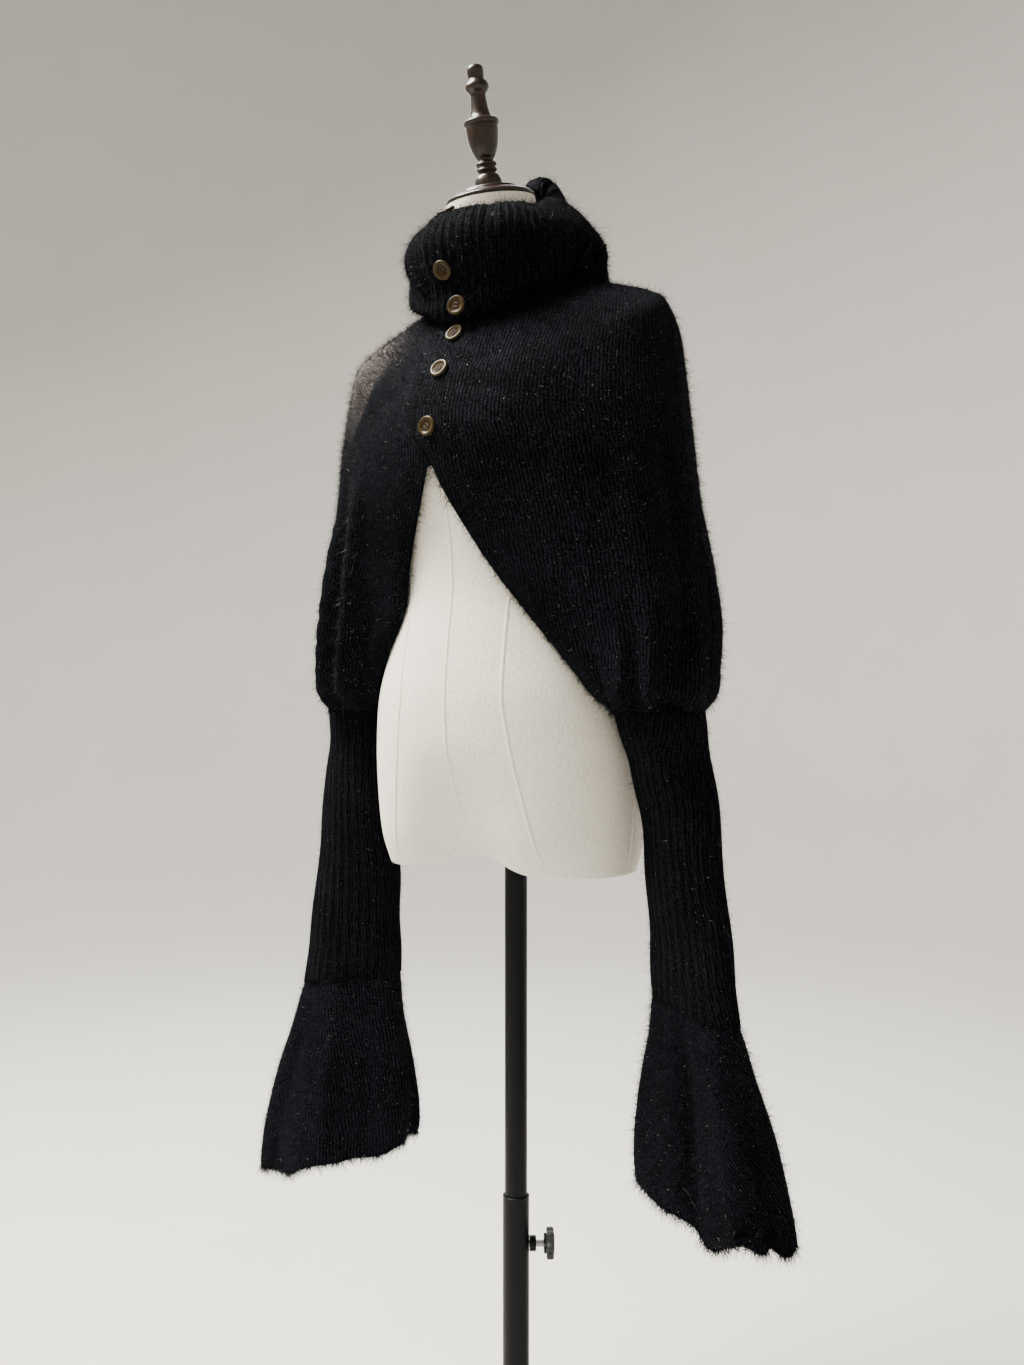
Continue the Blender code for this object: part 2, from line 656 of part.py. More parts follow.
def make_back_halves(material, collection, trees, columns=13):
    grid, swell = [], []
    for place in body_places():
        arm = eased(ARM_ROWS, place)
        first = SEAM_GAP / 2 / (6 * arm.rearward)
        parts = [first + (1 - first) * i / (columns - 1) for i in range(columns)]
        left_half = [back_point("left", place, part) for part in parts]
        right_half = [mirrored(back_point("right", place, part)) for part in parts]
        lifts = [gather(place, part * 2, GATHERS_BACK) if part <= 0.5 else 0.0 for part in parts]
        grid.append(left_half + right_half[-2::-1])
        swell.append(lifts + lifts[-2::-1])
    normals = grid_normals(grid, around=False)
    square_seam(normals, 0)
    square_seam(normals, -1)
    level_rim(normals, -1)
    outer, inner = [], []
    for line, across, lifts in zip(grid, normals, swell):
        outer.append([p - n * s for p, n, s in zip(line, across, lifts)])
        inner.append([p - n * (s - KNIT_WALL) for p, n, s in zip(line, across, lifts)])
    move_clear(outer, inner, trees, CLEAR_OF_FORM)
    halves = []
    for side in ("left", "right"):
        name = f"back_{side}"
        half = wall_mesh(name, back_half(side, outer, columns), back_half(side, inner, columns), around=False)
        halves.append(new_object(name, half, material, collection))
    return halves


# Cuffs and frills


def sleeve_point(row, side, angle, raise_by, fall=0.0):
    """A point round a sleeve section; angle 0 is its outer end and 90 degrees its back."""
    turn = math.radians(row.turn + SLEEVE_TURN[side] * ramp(row.drop, 0.0, SHIFT_ENDS))
    along = (row.half_width + raise_by) * math.cos(angle)
    deep = (row.half_depth + raise_by) * math.sin(angle)
    x = row.x + along * math.cos(turn) + deep * math.sin(turn)
    y = row.y - along * math.sin(turn) + deep * math.cos(turn)
    top = ARM_ROWS[-1].z - 2 * SEAM_GAP
    z = top - row.drop * SLEEVE_HANG[side] - row.slant * along - fall
    point = Vector((x, y, z)) + SLEEVE_SHIFT[side] * ramp(row.drop, SHIFT_ENDS, 0.0)
    return point if side == "left" else mirrored(point)


def make_cuff(side, material, collection):
    count = CUFF_RIBS * 2
    angles = [2 * math.pi * k / count for k in range(count)]
    outer, inner = [], []
    for row in CUFF_ROWS:
        outer.append([sleeve_point(row, side, a, RIB_RAISE * (k % 2)) for k, a in enumerate(angles)])
        inner.append([sleeve_point(row, side, a, -RIB_WALL) for a in angles])
    name = f"cuff_{side}"
    return new_object(name, wall_mesh(name, outer, inner, around=True), material, collection)


def make_bell(side, material, collection):
    waves = BELL_WAVES[side]
    outer, inner = [], []
    for place, row in enumerate(BELL_ROWS):
        growth = (place / (len(BELL_ROWS) - 1)) ** 1.5
        out_line, in_line = [], []
        for k in range(BELL_STEPS):
            angle = 2 * math.pi * k / BELL_STEPS
            wave = waves.depth * growth * -math.cos(waves.waves * (angle - math.radians(waves.first)))
            fall = HEM_SCALLOP_DEPTH * growth**3 * math.cos(HEM_SCALLOPS * angle) + SEAM_GAP
            out_line.append(sleeve_point(row, side, angle, wave, fall))
            in_line.append(sleeve_point(row, side, angle, wave - KNIT_WALL, fall))
        outer.append(out_line)
        inner.append(in_line)
    name = f"bell_{side}"
    return new_object(name, wall_mesh(name, outer, inner, around=True), material, collection)


# The collar


def neckline_point(around):
    """The neckline seam: 0 at the centre back, 1 and -1 at the centre front, above 0 on the wearer's left."""
    around = (around + 1) % 2 - 1
    part = abs(around)
    point = back_point("left", 0.0, 1 - part * 2) if part <= 0.5 else front_point("left", 0.0, part * 2 - 1)
    return point if around >= 0 else mirrored(point)


def collar_point(around, place):
    """A point of the collar's middle, from the seam at 0 to the rim at the last row."""
    row = eased(COLLAR_ROWS, place)
    seam = neckline_point(around)
    step = neckline_point(around + 0.01) - neckline_point(around - 0.01)
    outward = Vector((step.y, -step.x, 0.0)).normalized() * -1
    angle = math.pi * abs((around + 1) % 2 - 1)
    front = max(-math.cos(angle), 0.0) ** 2
    back = max(math.cos(angle), 0.0) ** 2
    side = math.sin(angle) ** 2
    out = front * row.front_out + side * row.side_out + back * row.back_out
    up = front * row.front_up + side * row.side_up + back * row.back_up
    off_lip = math.pi * abs((around - NAPE_LIP_CENTRE + 1) % 2 - 1)
    lip = NAPE_LIP * math.exp(-((off_lip / NAPE_LIP_HALF_ANGLE) ** NAPE_LIP_SQUARE))
    last = len(COLLAR_ROWS) - 1
    up += lip * ramp(place, last - 2.5, last)
    return seam + outward * out + Vector((0.0, 0.0, up))


def make_collar(material, collection, trees):
    columns = COLLAR_RIBS * 2 + 1
    reach = 1 + COLLAR_LAP
    arounds = [-reach + 2 * reach * i / (columns - 1) for i in range(columns)]
    grid = [[collar_point(a, j) for a in arounds] for j in range(len(COLLAR_ROWS))]
    normals = grid_normals(grid, around=False)
    outer, inner = [], []
    for line, across in zip(grid, normals):
        out_line, in_line = [], []
        for i, (p, n, a) in enumerate(zip(line, across, arounds)):
            lift = COLLAR_LAP_LIFT / 2 * (ramp(a, *COLLAR_LAP_RISE) - ramp(-a, *COLLAR_LAP_RISE))
            out_line.append(p + n * (lift + RIB_WALL / 2 + RIB_RAISE * (i % 2)))
            in_line.append(p + n * (lift - RIB_WALL / 2))
        outer.append(out_line)
        inner.append(in_line)
    move_clear(outer, inner, trees, CLEAR_OF_CLOTH)
    return new_object("collar", wall_mesh("collar", outer, inner, around=False), material, collection)


# Buttons


def make_button(number, row, panels, material, collection):
    fall = math.radians(row.fall)
    aim = Vector((0.0, math.cos(fall), -math.sin(fall)))
    target = Vector((row.x, BUTTON_PLANE, row.z))
    hits = [tree.ray_cast(target - aim * BUTTON_APPROACH, aim) for tree in panels]
    place, normal, _, _ = min((h for h in hits if h[0] is not None), key=lambda hit: hit[3])
    name = f"button_{number}"
    size = (BUTTON_RADIUS, BUTTON_THICKNESS)
    button = turned_object(name, BUTTON_PROFILE, size, material, collection, BUTTON_STEPS)
    aim_at(button, place + normal * BUTTON_SEAT, normal)


# The stand


def tube_profile(radius, wall, bottom, top):
    """A tube's section as a closed loop for a Screw: down the outside and up the inside."""
    inner = radius - wall
    return (
        TurnedRow(radius, top),
        TurnedRow(radius, bottom),
        TurnedRow(inner, bottom),
        TurnedRow(inner, top),
        TurnedRow(radius, top),
    )


def along_clamp(distance):
    """A point on the clamp screw's axis, at a distance from the pole's axis."""
    return Vector((math.cos(CLAMP_AZIMUTH) * distance, math.sin(CLAMP_AZIMUTH) * distance, CLAMP_HEIGHT))


def turn_to_clamp(obj, distance):
    aim_at(obj, along_clamp(distance), along_clamp(1.0) - along_clamp(0.0))


def make_stand(materials, collection, cutters):
    unit = (1.0, 1.0)
    bore = TUBE_RADIUS + SEAM_GAP
    base_profile = (
        TurnedRow(HUB_RADIUS - 0.002, BASE_THICKNESS + HUB_HEIGHT),
        TurnedRow(HUB_RADIUS, BASE_THICKNESS + HUB_HEIGHT - 0.002),
        TurnedRow(HUB_RADIUS, BASE_THICKNESS + 0.002),
        TurnedRow(HUB_RADIUS + 0.002, BASE_THICKNESS),
        TurnedRow(BASE_RADIUS - 0.005, BASE_THICKNESS),
        TurnedRow(BASE_RADIUS - 0.001, BASE_THICKNESS - 0.002),
        TurnedRow(BASE_RADIUS, BASE_THICKNESS - 0.005),
        TurnedRow(BASE_RADIUS, 0.001),
        TurnedRow(BASE_RADIUS - 0.001, 0.0),
        TurnedRow(0.0, 0.0),
        TurnedRow(0.0, BASE_THICKNESS),
        TurnedRow(bore, BASE_THICKNESS),
        TurnedRow(bore, BASE_THICKNESS + HUB_HEIGHT - 0.001),
        TurnedRow(bore + 0.001, BASE_THICKNESS + HUB_HEIGHT),
        TurnedRow(HUB_RADIUS - 0.002, BASE_THICKNESS + HUB_HEIGHT),
    )
    turned_object("base_plate", base_profile, unit, materials["coated_steel"], collection, 32)
    lower = tube_profile(TUBE_RADIUS, TUBE_WALL, BASE_THICKNESS + SEAM_GAP, TUBE_TOP)
    tube = turned_object("pole_lower", lower, unit, materials["coated_steel"], collection)
    upper = tube_profile(POLE_RADIUS, POLE_WALL, POLE_BOTTOM, POLE_TOP)
    turned_object("pole_upper", upper, unit, materials["coated_steel"], collection)

    screw_hole = SCREW_RADIUS + BORE_CLEARANCE
    cutter = cut_round(tube, "screw_hole", screw_hole, 2 * TUBE_RADIUS, cutters)
    turn_to_clamp(cutter, TUBE_RADIUS + 2 * TUBE_WALL)

    boss_profile = (
        TurnedRow(BOSS_RADIUS - 0.001, BOSS_LENGTH),
        TurnedRow(BOSS_RADIUS, BOSS_LENGTH - 0.001),
        TurnedRow(BOSS_RADIUS, 0.0),
        TurnedRow(screw_hole, 0.0),
        TurnedRow(screw_hole, BOSS_LENGTH),
        TurnedRow(BOSS_RADIUS - 0.001, BOSS_LENGTH),
    )
    boss = turned_object("clamp_boss", boss_profile, unit, materials["coated_steel"], collection)
    turn_to_clamp(boss, TUBE_RADIUS + SEAM_GAP)

    screw_start = POLE_RADIUS + SEAM_GAP
    knob_start = TUBE_RADIUS + BOSS_LENGTH + SCREW_SHOWN
    shank_end = knob_start + KNOB_THICKNESS * 0.6
    screw_profile = (
        TurnedRow(0.0, shank_end - screw_start),
        TurnedRow(SCREW_RADIUS, shank_end - screw_start),
        TurnedRow(SCREW_RADIUS, 0.001),
        TurnedRow(SCREW_RADIUS - 0.001, 0.0),
        TurnedRow(0.0, 0.0),
    )
    screw = turned_object("clamp_screw", screw_profile, unit, materials["bright_steel"], collection, 16)
    turn_to_clamp(screw, screw_start)
    make_knob(knob_start, shank_end, materials["moulded_plastic"], collection)


def make_knob(start, shank_end, material, collection):
    """A lobed hand knob with a hub on its inner side and a blind bore for the screw."""
    count = KNOB_LOBES * 4
    bore = SCREW_RADIUS + SEAM_GAP
    bore_depth = shank_end - start + SEAM_GAP
    hub = 0.0075

    def circle(radius, height):
        angles = [2 * math.pi * i / count for i in range(count)]
        return [Vector((radius * math.cos(a), radius * math.sin(a), height)) for a in angles]

    def lobed(inset, height):
        ring = []
        for i in range(count):
            angle = 2 * math.pi * i / count
            radius = KNOB_RADIUS - inset + KNOB_LOBE * (math.cos(KNOB_LOBES * angle) - 1)
            ring.append(Vector((radius * math.cos(angle), radius * math.sin(angle), height)))
        return ring

    rings = [
        circle(bore * 0.96, bore_depth),
        circle(bore, 0.0),
        circle(hub, 0.0),
        circle(hub + 0.001, 0.0025),
        lobed(0.0025, 0.0028),
        lobed(0.0, 0.0050),
        lobed(0.0, KNOB_THICKNESS - 0.0035),
        lobed(0.0025, KNOB_THICKNESS - 0.0012),
        circle(0.008, KNOB_THICKNESS),
    ]
    knob = new_object("clamp_knob", loft_mesh("clamp_knob", rings), material, collection)
    turn_to_clamp(knob, start)


def make_everything():
    clear_scene()
    parts = new_collection("cape_on_dress_form")
    cutters = new_collection("cutters")
    materials = {
        "mohair_knit": new_material("mohair_knit", "#1b1718", 0.95),
        "mohair_rib": new_material("mohair_rib", "#19161a", 0.95),
        "linen": new_material("linen", "#d9d3c8", 0.90),
        "turned_wood": new_material("turned_wood", "#a8642f", 0.35),
        "coated_steel": new_material("coated_steel", "#151515", 0.45, 0.3),
        "bright_steel": new_material("bright_steel", "#b8b8ba", 0.30, 1.0),
        "moulded_plastic": new_material("moulded_plastic", "#161617", 0.50),
        "horn": new_material("horn", "#5a4232", 0.35),
    }

    torso = make_torso(materials["linen"], parts, cutters)
    form_tree = tree_of(torso.data)
    wood = materials["turned_wood"]
    lean_with_neck(turned_object("neck_cap", CAP_PROFILE, (1.0, 1.0), wood, parts))
    lean_with_neck(turned_object("finial", FINIAL_PROFILE, (1.0, 1.0), wood, parts, 14))

    fronts = {s: make_front(s, materials["mohair_knit"], parts, [form_tree]) for s in ("left", "right")}
    backs = make_back_halves(materials["mohair_knit"], parts, [form_tree])
    body_trees = [tree_of(obj.data) for obj in (*fronts.values(), *backs)]
    collar = make_collar(materials["mohair_rib"], parts, [form_tree, *body_trees])
    for side in ("left", "right"):
        make_cuff(side, materials["mohair_rib"], parts)
        make_bell(side, materials["mohair_knit"], parts)
    panels = [tree_of(fronts["left"].data), tree_of(collar.data)]
    for number, row in enumerate(BUTTON_ROWS, 1):
        make_button(number, row, panels, materials["horn"], parts)
    make_stand(materials, parts, cutters)


make_everything()
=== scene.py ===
# %% [markdown]
# # A knitted cape on a dress form
# A black mohair cape with a tall ribbed collar, horn buttons, long ribbed cuffs and flared frills hangs on
# a limbless linen form, which stands on a telescopic pole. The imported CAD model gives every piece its
# place. This lesson dresses that frame: thin cloth on the forms of the solids, turned and moulded parts
# with their fine edges, a finish for each material, and a plain studio. Lengths are metres, +Z is up, the
# front faces -Y, and +X is the wearer's left.

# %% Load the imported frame
import json
import math

import bmesh
import bpy
import numpy as np
from mathutils import Matrix, Vector
from mathutils.bvhtree import BVHTree

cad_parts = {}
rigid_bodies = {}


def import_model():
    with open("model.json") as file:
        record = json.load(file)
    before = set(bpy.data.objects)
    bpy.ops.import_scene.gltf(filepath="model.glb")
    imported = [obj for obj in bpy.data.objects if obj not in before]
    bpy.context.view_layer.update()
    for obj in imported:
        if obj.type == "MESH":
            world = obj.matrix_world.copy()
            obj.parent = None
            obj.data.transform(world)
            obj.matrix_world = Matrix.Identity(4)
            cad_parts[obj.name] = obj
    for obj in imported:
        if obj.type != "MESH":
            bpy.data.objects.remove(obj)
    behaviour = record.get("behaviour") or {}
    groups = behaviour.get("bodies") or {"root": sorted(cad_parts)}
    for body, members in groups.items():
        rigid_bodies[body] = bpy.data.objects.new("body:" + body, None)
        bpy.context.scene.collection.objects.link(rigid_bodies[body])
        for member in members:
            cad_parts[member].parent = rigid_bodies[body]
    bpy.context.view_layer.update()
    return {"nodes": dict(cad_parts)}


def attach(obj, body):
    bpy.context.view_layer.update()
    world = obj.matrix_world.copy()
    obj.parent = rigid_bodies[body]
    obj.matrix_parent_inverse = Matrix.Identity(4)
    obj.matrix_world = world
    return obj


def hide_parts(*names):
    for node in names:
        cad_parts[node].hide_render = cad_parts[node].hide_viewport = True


for old in list(bpy.data.objects):
    bpy.data.objects.remove(old, do_unlink=True)
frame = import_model()

# %% [markdown]
# ## The camera
# The photo was taken a little from the wearer's left, level, at about waist height, from close by. Straight
# verticals in the picture say that the camera isn't tipped, so a small shift does the framing in its place.

# %% Set up the camera
CAMERA_TURN = math.radians(34.0)
CAMERA_DISTANCE = 1.35
CAMERA_HEIGHT = 1.0
PICTURE_WIDTH, PICTURE_HEIGHT = 1024, 1365
FOCAL_PIXELS = 1193.0
EYE_PIXEL = (516.0, 700.0)
SENSOR_MM = 36.0


def placed(name, data):
    """A new object with this data, linked to the scene at the origin."""
    item = bpy.data.objects.new(name, data)
    bpy.context.scene.collection.objects.link(item)
    return item


camera_data = bpy.data.cameras.new("photo_camera")
camera_data.sensor_width = SENSOR_MM
camera_data.lens = FOCAL_PIXELS / PICTURE_HEIGHT * SENSOR_MM
camera_data.shift_x = (PICTURE_WIDTH / 2 - EYE_PIXEL[0]) / PICTURE_HEIGHT
camera_data.shift_y = (EYE_PIXEL[1] - PICTURE_HEIGHT / 2) / PICTURE_HEIGHT
camera = placed("photo_camera", camera_data)
camera_side = Vector((math.sin(CAMERA_TURN), -math.cos(CAMERA_TURN), 0.0))
camera.location = camera_side * CAMERA_DISTANCE + Vector((0.0, 0.0, CAMERA_HEIGHT))
camera.rotation_euler = (math.pi / 2, 0.0, CAMERA_TURN)
bpy.context.scene.camera = camera
print("lens", round(camera_data.lens, 2), "mm")

# %% [markdown]
# ## Finishes
# Every finish is a Principled shader with a few procedural nodes in front of it. One helper turns a hex
# colour into the linear values that Blender wants, one adds a node with its settings, and a few short ones
# wrap what comes up again and again: sums, noise of a given grain, a mix of two colours and a bump.

# %% Helpers for finishes
CUT_MAP = "cut"


def linear(hex_colour):
    """An sRGB hex colour as linear red, green, blue and alpha."""
    channels = [int(hex_colour[i : i + 2], 16) / 255 for i in (1, 3, 5)]
    return (*[c / 12.92 if c <= 0.04045 else ((c + 0.055) / 1.055) ** 2.4 for c in channels], 1.0)


def add_node(tree, kind, settings=()):
    """Adds a shader node. A setting is a property, or a socket's value or the output that feeds it."""
    node = tree.nodes.new(kind)
    for name, value in dict(settings).items():
        if isinstance(value, bpy.types.NodeSocket):
            tree.links.new(value, node.inputs[name])
        elif isinstance(name, str) and hasattr(node, name):
            setattr(node, name, value)
        else:
            node.inputs[name].default_value = value
    return node


def new_finish(name, sockets):
    """A material whose Principled shader has these even values; returns it with its node tree and shader."""
    material = bpy.data.materials.new(name)
    material.use_nodes = True
    shader = material.node_tree.nodes["Principled BSDF"]
    for socket, value in sockets.items():
        shader.inputs[socket].default_value = value
    return material, material.node_tree, shader


def worked_out(tree, operation, *values):
    """The result of a Math node; each value is a number or the output that feeds it."""
    return add_node(tree, "ShaderNodeMath", {"operation": operation, **dict(enumerate(values))}).outputs[0]


def ranged(tree, value, given=(0.0, 1.0), wanted=(0.0, 1.0)):
    """A value moved from one range to another."""
    limits = {"From Min": given[0], "From Max": given[1], "To Min": wanted[0], "To Max": wanted[1]}
    return add_node(tree, "ShaderNodeMapRange", {"Value": value, **limits}).outputs[0]


def mixed(tree, share, dark, light):
    """A colour between two colours, each given as linear values or as the output that feeds it."""
    return add_node(tree, "ShaderNodeMix", {"data_type": "RGBA", 0: share, 6: dark, 7: light}).outputs[2]


def noise(tree, grain, stretch=None, **settings):
    """The outputs of noise with grains of this many metres, drawn out along Z by a stretch under 1."""
    spot = add_node(tree, "ShaderNodeTexCoord").outputs["Object"]
    scale = 1 / grain
    if stretch:
        drawn_out = {0: spot, "Scale": (scale, scale, stretch / grain)}
        spot = add_node(tree, "ShaderNodeMapping", drawn_out).outputs[0]
        scale = 1.0
    return add_node(tree, "ShaderNodeTexNoise", {"Vector": spot, "Scale": scale, **settings}).outputs


def bumped(tree, shader, height, strength, depth):
    """Links a height to a shader as a bump of this depth in metres."""
    bump = add_node(tree, "ShaderNodeBump", {"Strength": strength, "Distance": depth, "Height": height})
    tree.links.new(bump.outputs[0], shader.inputs["Normal"])


def mottled_finish(name, sockets, grain, dark, light, bump=None, span=None, stretch=None, **settings):
    """A finish mottled between two hex colours by noise; bump is a strength and a depth."""
    material, tree, shader = new_finish(name, sockets)
    cloud = noise(tree, grain, stretch, **settings)["Fac"]
    share = ranged(tree, cloud, span) if span else cloud
    tree.links.new(mixed(tree, share, linear(dark), linear(light)), shader.inputs["Base Color"])
    if bump:
        bumped(tree, shader, cloud, *bump)
    return material


print("middle grey in linear values:", [round(value, 3) for value in linear("#808080")])

# %% [markdown]
# ### Brushed mohair knit
# Mohair is goat hair spun round a thin core and brushed, so the surface is near black, matt and soft,
# felted with loose hair, and the wales of the stockinette just show through it. A bronze metallic thread
# glints here and there. The stitches are drawn from the cloth's own map in metres. The real gauge is about
# 3.2 mm by 2.4 mm a stitch, near the pixel size of the picture, so it is drawn coarser, at 4.2 mm by
# 3.4 mm. Each wale is one soft ridge whose stitches slant to its middle, noise makes it sway, and finer
# noise felts it over. The same heights paint the base colour: near black in the hollows between the
# stitches, which is painted shade, and the yarn's dark grey on their crests. The rib's crests are a dimmer
# grey, which is also painted shade.

# %% Make the knit finishes
SWAY_LENGTH, SWAY = 0.014, 0.006
FELT_GRAIN, FELT_SHARE = 0.0026, 2.4
WORN_PATCH = 1 / 14
LEG_SLANT = 1.2
STITCH_GROWTH, STITCH_LEAST = 0.8, 0.6
RUBBED = (0.42, 0.58)
# stitch heights over which the colour goes from painted shade in the hollows to the yarn's grey on the
# crests
SHADED_HOLLOW_TO_CREST = (0.77, 1.22)
GLINT_SPACING, GLINT_REACH, GLINT_COLOUR = 0.0042, 0.06, "#d6d1c8"
YARN_ROUGHNESS, GLINT_ROUGHNESS = 0.85, 0.5
KNIT_BUMP = 0.9
MOHAIR = {
    "Roughness": YARN_ROUGHNESS,
    "Specular IOR Level": 0.02,
    "Sheen Weight": 0.015,
    "Sheen Roughness": 0.6,
    "Sheen Tint": linear("#8b909c"),
}


def knit_stitches(tree, wale, course):
    """The height of stitches of one gauge: a ridge to a wale, with stitches that slant to its middle."""
    cut = add_node(tree, "ShaderNodeUVMap", {"uv_map": CUT_MAP})
    shift = {0: noise(tree, SWAY_LENGTH)["Color"], 1: (SWAY, SWAY, 0.0), 2: cut.outputs[0]}
    swayed = add_node(tree, "ShaderNodeVectorMath", {"operation": "MULTIPLY_ADD", **shift})
    axes = add_node(tree, "ShaderNodeSeparateXYZ", {0: swayed.outputs[0]})
    in_wale = worked_out(tree, "PINGPONG", axes.outputs["X"], wale / 2)
    off_middle = worked_out(tree, "MULTIPLY_ADD", in_wale, 2 / wale, -1.0)
    ridge = worked_out(tree, "SUBTRACT", 1.0, worked_out(tree, "MULTIPLY", off_middle, off_middle))
    rise = worked_out(tree, "MULTIPLY", in_wale, LEG_SLANT / wale)
    along = worked_out(tree, "MULTIPLY_ADD", axes.outputs["Y"], 1 / course, rise)
    stitch = worked_out(tree, "PINGPONG", along, 0.5)
    body = worked_out(tree, "MULTIPLY_ADD", stitch, STITCH_GROWTH, STITCH_LEAST)
    return worked_out(tree, "MULTIPLY", ridge, body)


def glints(tree, without):
    """1 on the spots where the metallic thread shows and 0 elsewhere; the share without them stays bare."""
    spot = add_node(tree, "ShaderNodeTexCoord").outputs["Object"]
    cells = add_node(tree, "ShaderNodeTexVoronoi", {"Scale": 1 / GLINT_SPACING, "Vector": spot})
    near = worked_out(tree, "LESS_THAN", cells.outputs["Distance"], GLINT_REACH)
    picked = worked_out(tree, "GREATER_THAN", cells.outputs["Color"], without)
    return worked_out(tree, "MULTIPLY", near, picked)


def knit_finish(name, wale, course, dark, light, bump_depth, without_glint):
    """Felted stitches of one gauge, painted shade in their hollows, the yarn's grey on crests, metallic
    glints.
    """
    material, tree, shader = new_finish(name, MOHAIR)
    felt = noise(tree, FELT_GRAIN, Detail=3.0, Roughness=0.65)["Fac"]
    height = worked_out(tree, "MULTIPLY_ADD", felt, FELT_SHARE, knit_stitches(tree, wale, course))
    bumped(tree, shader, height, KNIT_BUMP, bump_depth)
    rubbed = ranged(tree, noise(tree, WORN_PATCH)["Fac"], wanted=RUBBED)
    # the hollows between stitches get painted shade, and the crests get the yarn's own grey
    shaded_hollow_to_crest_share = ranged(tree, worked_out(tree, "MULTIPLY", height, rubbed), SHADED_HOLLOW_TO_CREST)
    shade = mixed(tree, shaded_hollow_to_crest_share, linear(dark), linear(light))
    glint = glints(tree, without_glint)
    tree.links.new(mixed(tree, glint, shade, linear(GLINT_COLOUR)), shader.inputs["Base Color"])
    tree.links.new(glint, shader.inputs["Metallic"])
    roughness = ranged(tree, glint, wanted=(YARN_ROUGHNESS, GLINT_ROUGHNESS))
    tree.links.new(roughness, shader.inputs["Roughness"])
    return material


# dark is the painted shade in the stitch hollows, and light is the yarn's grey on the crests; the rib's
# crests are painted a dimmer grey, as shade
mohair_knit = knit_finish(
    "brushed_mohair_stockinette", wale=0.0042, course=0.0034,
    dark="#010102", light="#1d2026", bump_depth=0.001, without_glint=0.58,
)
mohair_rib = knit_finish(
    "brushed_mohair_rib", wale=0.0045, course=0.0036,
    dark="#010102", light="#15171b", bump_depth=0.0006, without_glint=0.8,
)
print("knit finishes:", mohair_knit.name, mohair_rib.name)

# %% [markdown]
# ### Loose mohair fibres
# The brushed halo is thousands of fine hairs. They are real geometry here, so their finishes are plain
# colours: most hairs are black, some are painted a cool grey, a painted highlight of hairs that catch the
# light, and a few are ends of the bronze metallic thread. Each hair is given one of the three finishes.

# %% Make the fibre finishes
FIBRE_LOOKS = {
    "black_mohair_fibre": {"Roughness": 0.6, "Specular IOR Level": 0.015, "Base Color": linear("#060709")},
    # the grey hairs are the black fibre painted lighter, a painted highlight
    "painted_highlight_grey_fibre": {"Roughness": 0.45, "Specular IOR Level": 0.12, "Base Color": linear("#1b1e24")},
    "bronze_metallic_fibre": {"Metallic": 1.0, "Roughness": 0.35, "Base Color": linear("#b5ac9e")},
}
FIBRES = [new_finish(name, sockets)[0] for name, sockets in FIBRE_LOOKS.items()]
print("fibre finishes:", [finish.name for finish in FIBRES])

# %% [markdown]
# ### Linen, turned wood, coated steel, bright steel, moulded plastic and horn
# The form is covered in off-white linen. Real threads lie about 0.5 mm apart, too fine for the picture, so
# the weave is drawn at about 2 mm, as the pebbled grain that the eye reads. The neck cap and finial are
# dark stained wood under a glossy varnish, so a clear coat lies over a brown with a lengthwise grain. The
# pole is black powder coat, which is fine-pebbled and half matt. The clamp screw is bright zinc plate, the
# knob is moulded plastic with a fine spark-eroded grain, and the buttons are polished horn-coloured resin,
# dark in the middle and paler on the rim.

# %% Make the mottled finishes
LINEN_THREAD, WOOD_GRAIN, POWDER_GRIT, SPARK_GRIT, HORN_CLOUD = 0.0022, 0.0022, 0.0009, 0.0006, 0.003
LINEN_BUMP, WOOD_BUMP = (0.6, 0.0014), (0.15, 0.0003)
GRIT_BUMP, FINE_BUMP = (0.4, 0.0002), (0.4, 0.0001)

linen_look = {"Roughness": 0.92, "Specular IOR Level": 0.2, "Sheen Weight": 0.15}
weave = {"stretch": 0.55, "Detail": 3.0, "Roughness": 0.6}
linen = mottled_finish("linen_cover", linen_look, LINEN_THREAD, "#c4bca6", "#f6f3ea", LINEN_BUMP, **weave)
wood_look = {"Roughness": 0.4, "Specular IOR Level": 0.1, "Coat Weight": 0.4, "Coat Roughness": 0.06}
grain = {"span": (0.35, 0.68), "stretch": 0.07, "Detail": 4.0, "Roughness": 0.6, "Distortion": 0.4}
varnished_wood = mottled_finish(
    "dark_varnished_wood", wood_look, WOOD_GRAIN, "#090604", "#2a1b10", WOOD_BUMP, **grain
)
coat_look = {"Roughness": 0.38, "Specular IOR Level": 0.1}
powder_coat = mottled_finish("black_powder_coat", coat_look, POWDER_GRIT, "#060708", "#0d0e11", GRIT_BUMP)
zinc_look = {"Metallic": 1.0, "Roughness": 0.28}
zinc_plate = mottled_finish("bright_zinc_plate", zinc_look, SPARK_GRIT, "#a9aaa8", "#c9cac8", FINE_BUMP)
plastic_look = {"Roughness": 0.48, "IOR": 1.46}
moulded_plastic = mottled_finish(
    "moulded_black_plastic", plastic_look, SPARK_GRIT, "#121314", "#1d1f20", GRIT_BUMP
)
horn_look = {"Roughness": 0.26, "Specular IOR Level": 0.1}
horn = mottled_finish("polished_horn_resin", horn_look, HORN_CLOUD, "#1a150e", "#43371f", Detail=3.0)
sunk_look = {"Roughness": 0.6, "Specular IOR Level": 0.02}
sunk_horn = mottled_finish("sunk_horn_resin", sunk_look, HORN_CLOUD, "#120b06", "#3c2d1b", FINE_BUMP)
thread = mottled_finish(
    "waxed_sewing_thread", {"Roughness": 0.7}, SPARK_GRIT, "#141214", "#2a2628", GRIT_BUMP
)
print("finishes in all:", len(bpy.data.materials))

# %% [markdown]
# ## Turned parts of the form and stand
# The cap, finial, tubes and base were all turned or drawn round one axis. A profile line spun about Z is
# the shortest way to them: the CAD already has the profile, and a finer spin with small rounded edges gives
# the lathe's smooth curves. Each spun piece replaces its CAD node and rides on the same body.

# %% Helpers for spun and placed pieces
SPIN_STEPS = 72
MERGE = 0.00002


